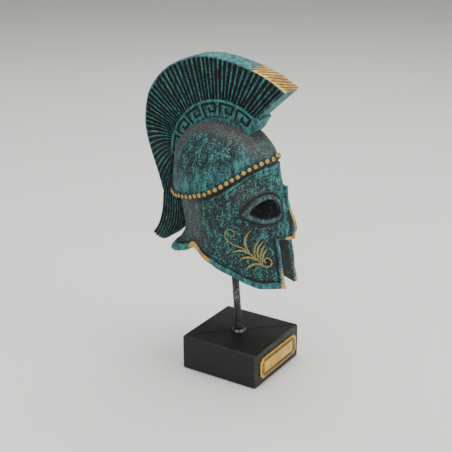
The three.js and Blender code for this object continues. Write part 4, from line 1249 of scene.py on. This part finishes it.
class HelmetSizes(bpy.types.PropertyGroup):
    """Sizes of the helmet and its stand."""

    wall: length("Wall", "Thickness of the cast bowl", 3, min=0.001, max=0.006)
    beads_each_side: bpy.props.IntProperty(
        name="Beads each side", description="Beads on each side of the middle one", default=23,
        min=5, max=40)
    bead_pitch: length("Bead pitch", "Distance between the middles of two beads", 5, min=0.003)
    groove_depth: length("Groove depth", "Depth of the grooves between the strands", 1.35, min=0)
    nut_height: length("Nut height", "Height of the nut on the post", 3, min=0.001)
    block_edge: length("Block edge", "Rounding of the block's upper and lower edges", 1.6, min=0)


class HelmetColours(bpy.types.PropertyGroup):
    """Colours of the finishes."""

    verdigris_deep: colour("Deep verdigris", "Green low in the brushed coat", "#1d5157")
    verdigris_light: colour("Light verdigris", "Green where the coat is thick", "#3c8683")
    verdigris_gilt: colour("Greened gilt", "Gilt that the green has gone over", "#8f9660")
    ground: colour("Ground", "Near-black ground under the green", "#0b1113")
    brown: colour("Brown dust", "Brown-grey that shows through", "#5c5252")
    gilt: colour("Gilt", "Gold paint", "#d2a84c")
    copper: colour("Copper", "Redder gold in hollows", "#b5813f")
    block: colour("Block", "Black paint of the block", "#0c0c0c")
    block_worn: colour("Worn block", "Black paint gone a little grey", "#131313")
    rod: colour("Rod", "Black paint of the rod", "#101112")
    brass: colour("Brass", "Brass of the plaque", "#c79d43")
    brass_light: colour("Light brass", "Brass where it is polished", "#e0ba5e")
    etched: colour("Enamel", "Brown in the etched lines", "#3f2b0e")
    paper: colour("Paper", "Studio paper", "#e2e2e0")


class HELMET_OT_bowl(bpy.types.Operator):
    """Build the bowl with its cheek guards, borders and brow ridge"""

    bl_idname = "helmet.bowl"
    bl_label = "Bowl"
    bl_options = {"REGISTER", "UNDO"}

    def execute(self, context):
        build_bowl(context.scene.helmet_sizes)
        return {"FINISHED"}


class HELMET_OT_face(bpy.types.Operator):
    """Build the nose guard and the rims of the eye openings"""

    bl_idname = "helmet.face"
    bl_label = "Nose guard and eye rims"
    bl_options = {"REGISTER", "UNDO"}

    def execute(self, context):
        build_nose_guard()
        for side, hand in HANDS:
            build_eye_rim(side, hand)
        return {"FINISHED"}


class HELMET_OT_gilding(bpy.types.Operator):
    """Build the gilt bead row and the ornaments of the cheeks"""

    bl_idname = "helmet.gilding"
    bl_label = "Beads and cheek ornaments"
    bl_options = {"REGISTER", "UNDO"}

    def execute(self, context):
        build_beads(context.scene.helmet_sizes)
        for side, hand in HANDS:
            build_ornament(side, hand)
        return {"FINISHED"}


class HELMET_OT_crest(bpy.types.Operator):
    """Build the crest holder, the plume and its tail"""

    bl_idname = "helmet.crest"
    bl_label = "Crest"
    bl_options = {"REGISTER", "UNDO"}

    def execute(self, context):
        build_holder()
        build_plume(context.scene.helmet_sizes)
        build_tail(context.scene.helmet_sizes)
        return {"FINISHED"}


class HELMET_OT_stand(bpy.types.Operator):
    """Build the post, the nut and the wooden block"""

    bl_idname = "helmet.stand"
    bl_label = "Stand"
    bl_options = {"REGISTER", "UNDO"}

    def execute(self, context):
        build_post()
        build_nut(context.scene.helmet_sizes)
        build_block(context.scene.helmet_sizes)
        return {"FINISHED"}


class HELMET_OT_plaque(bpy.types.Operator):
    """Build the brass plaque with its key border"""

    bl_idname = "helmet.plaque"
    bl_label = "Plaque"
    bl_options = {"REGISTER", "UNDO"}

    def execute(self, context):
        build_plaque()
        return {"FINISHED"}


class HELMET_OT_studio(bpy.types.Operator):
    """Build the floor, the lights and the camera"""

    bl_idname = "helmet.studio"
    bl_label = "Studio"
    bl_options = {"REGISTER", "UNDO"}

    def execute(self, context):
        build_studio()
        build_camera()
        return {"FINISHED"}


STEPS = (HELMET_OT_bowl, HELMET_OT_face, HELMET_OT_gilding, HELMET_OT_crest, HELMET_OT_stand,
         HELMET_OT_plaque, HELMET_OT_studio)


class HELMET_PT_panel(bpy.types.Panel):
    """Lists the sizes, the colours and the steps"""

    bl_label = "Crested Helmet"
    bl_space_type = "VIEW_3D"
    bl_region_type = "UI"
    bl_category = "Helmet"

    def draw(self, context):
        for values in (context.scene.helmet_sizes, context.scene.helmet_colours):
            box = self.layout.box()
            for key in values.bl_rna.properties.keys():
                if key not in ("rna_type", "name"):
                    box.prop(values, key)
        for step in STEPS:
            self.layout.operator(step.bl_idname)


CLASSES = (HelmetSizes, HelmetColours, *STEPS, HELMET_PT_panel)


def register():
    for each in CLASSES:
        bpy.utils.register_class(each)
    bpy.types.Scene.helmet_sizes = bpy.props.PointerProperty(type=HelmetSizes)
    bpy.types.Scene.helmet_colours = bpy.props.PointerProperty(type=HelmetColours)


def unregister():
    del bpy.types.Scene.helmet_colours
    del bpy.types.Scene.helmet_sizes
    for each in reversed(CLASSES):
        bpy.utils.unregister_class(each)


def main():
    register()
    bpy.ops.helmet.studio()
    bpy.ops.helmet.bowl()
    bpy.ops.helmet.face()
    bpy.ops.helmet.gilding()
    bpy.ops.helmet.crest()
    bpy.ops.helmet.stand()
    bpy.ops.helmet.plaque()
    bpy.context.view_layer.update()


if __name__ == "__main__":
    main()
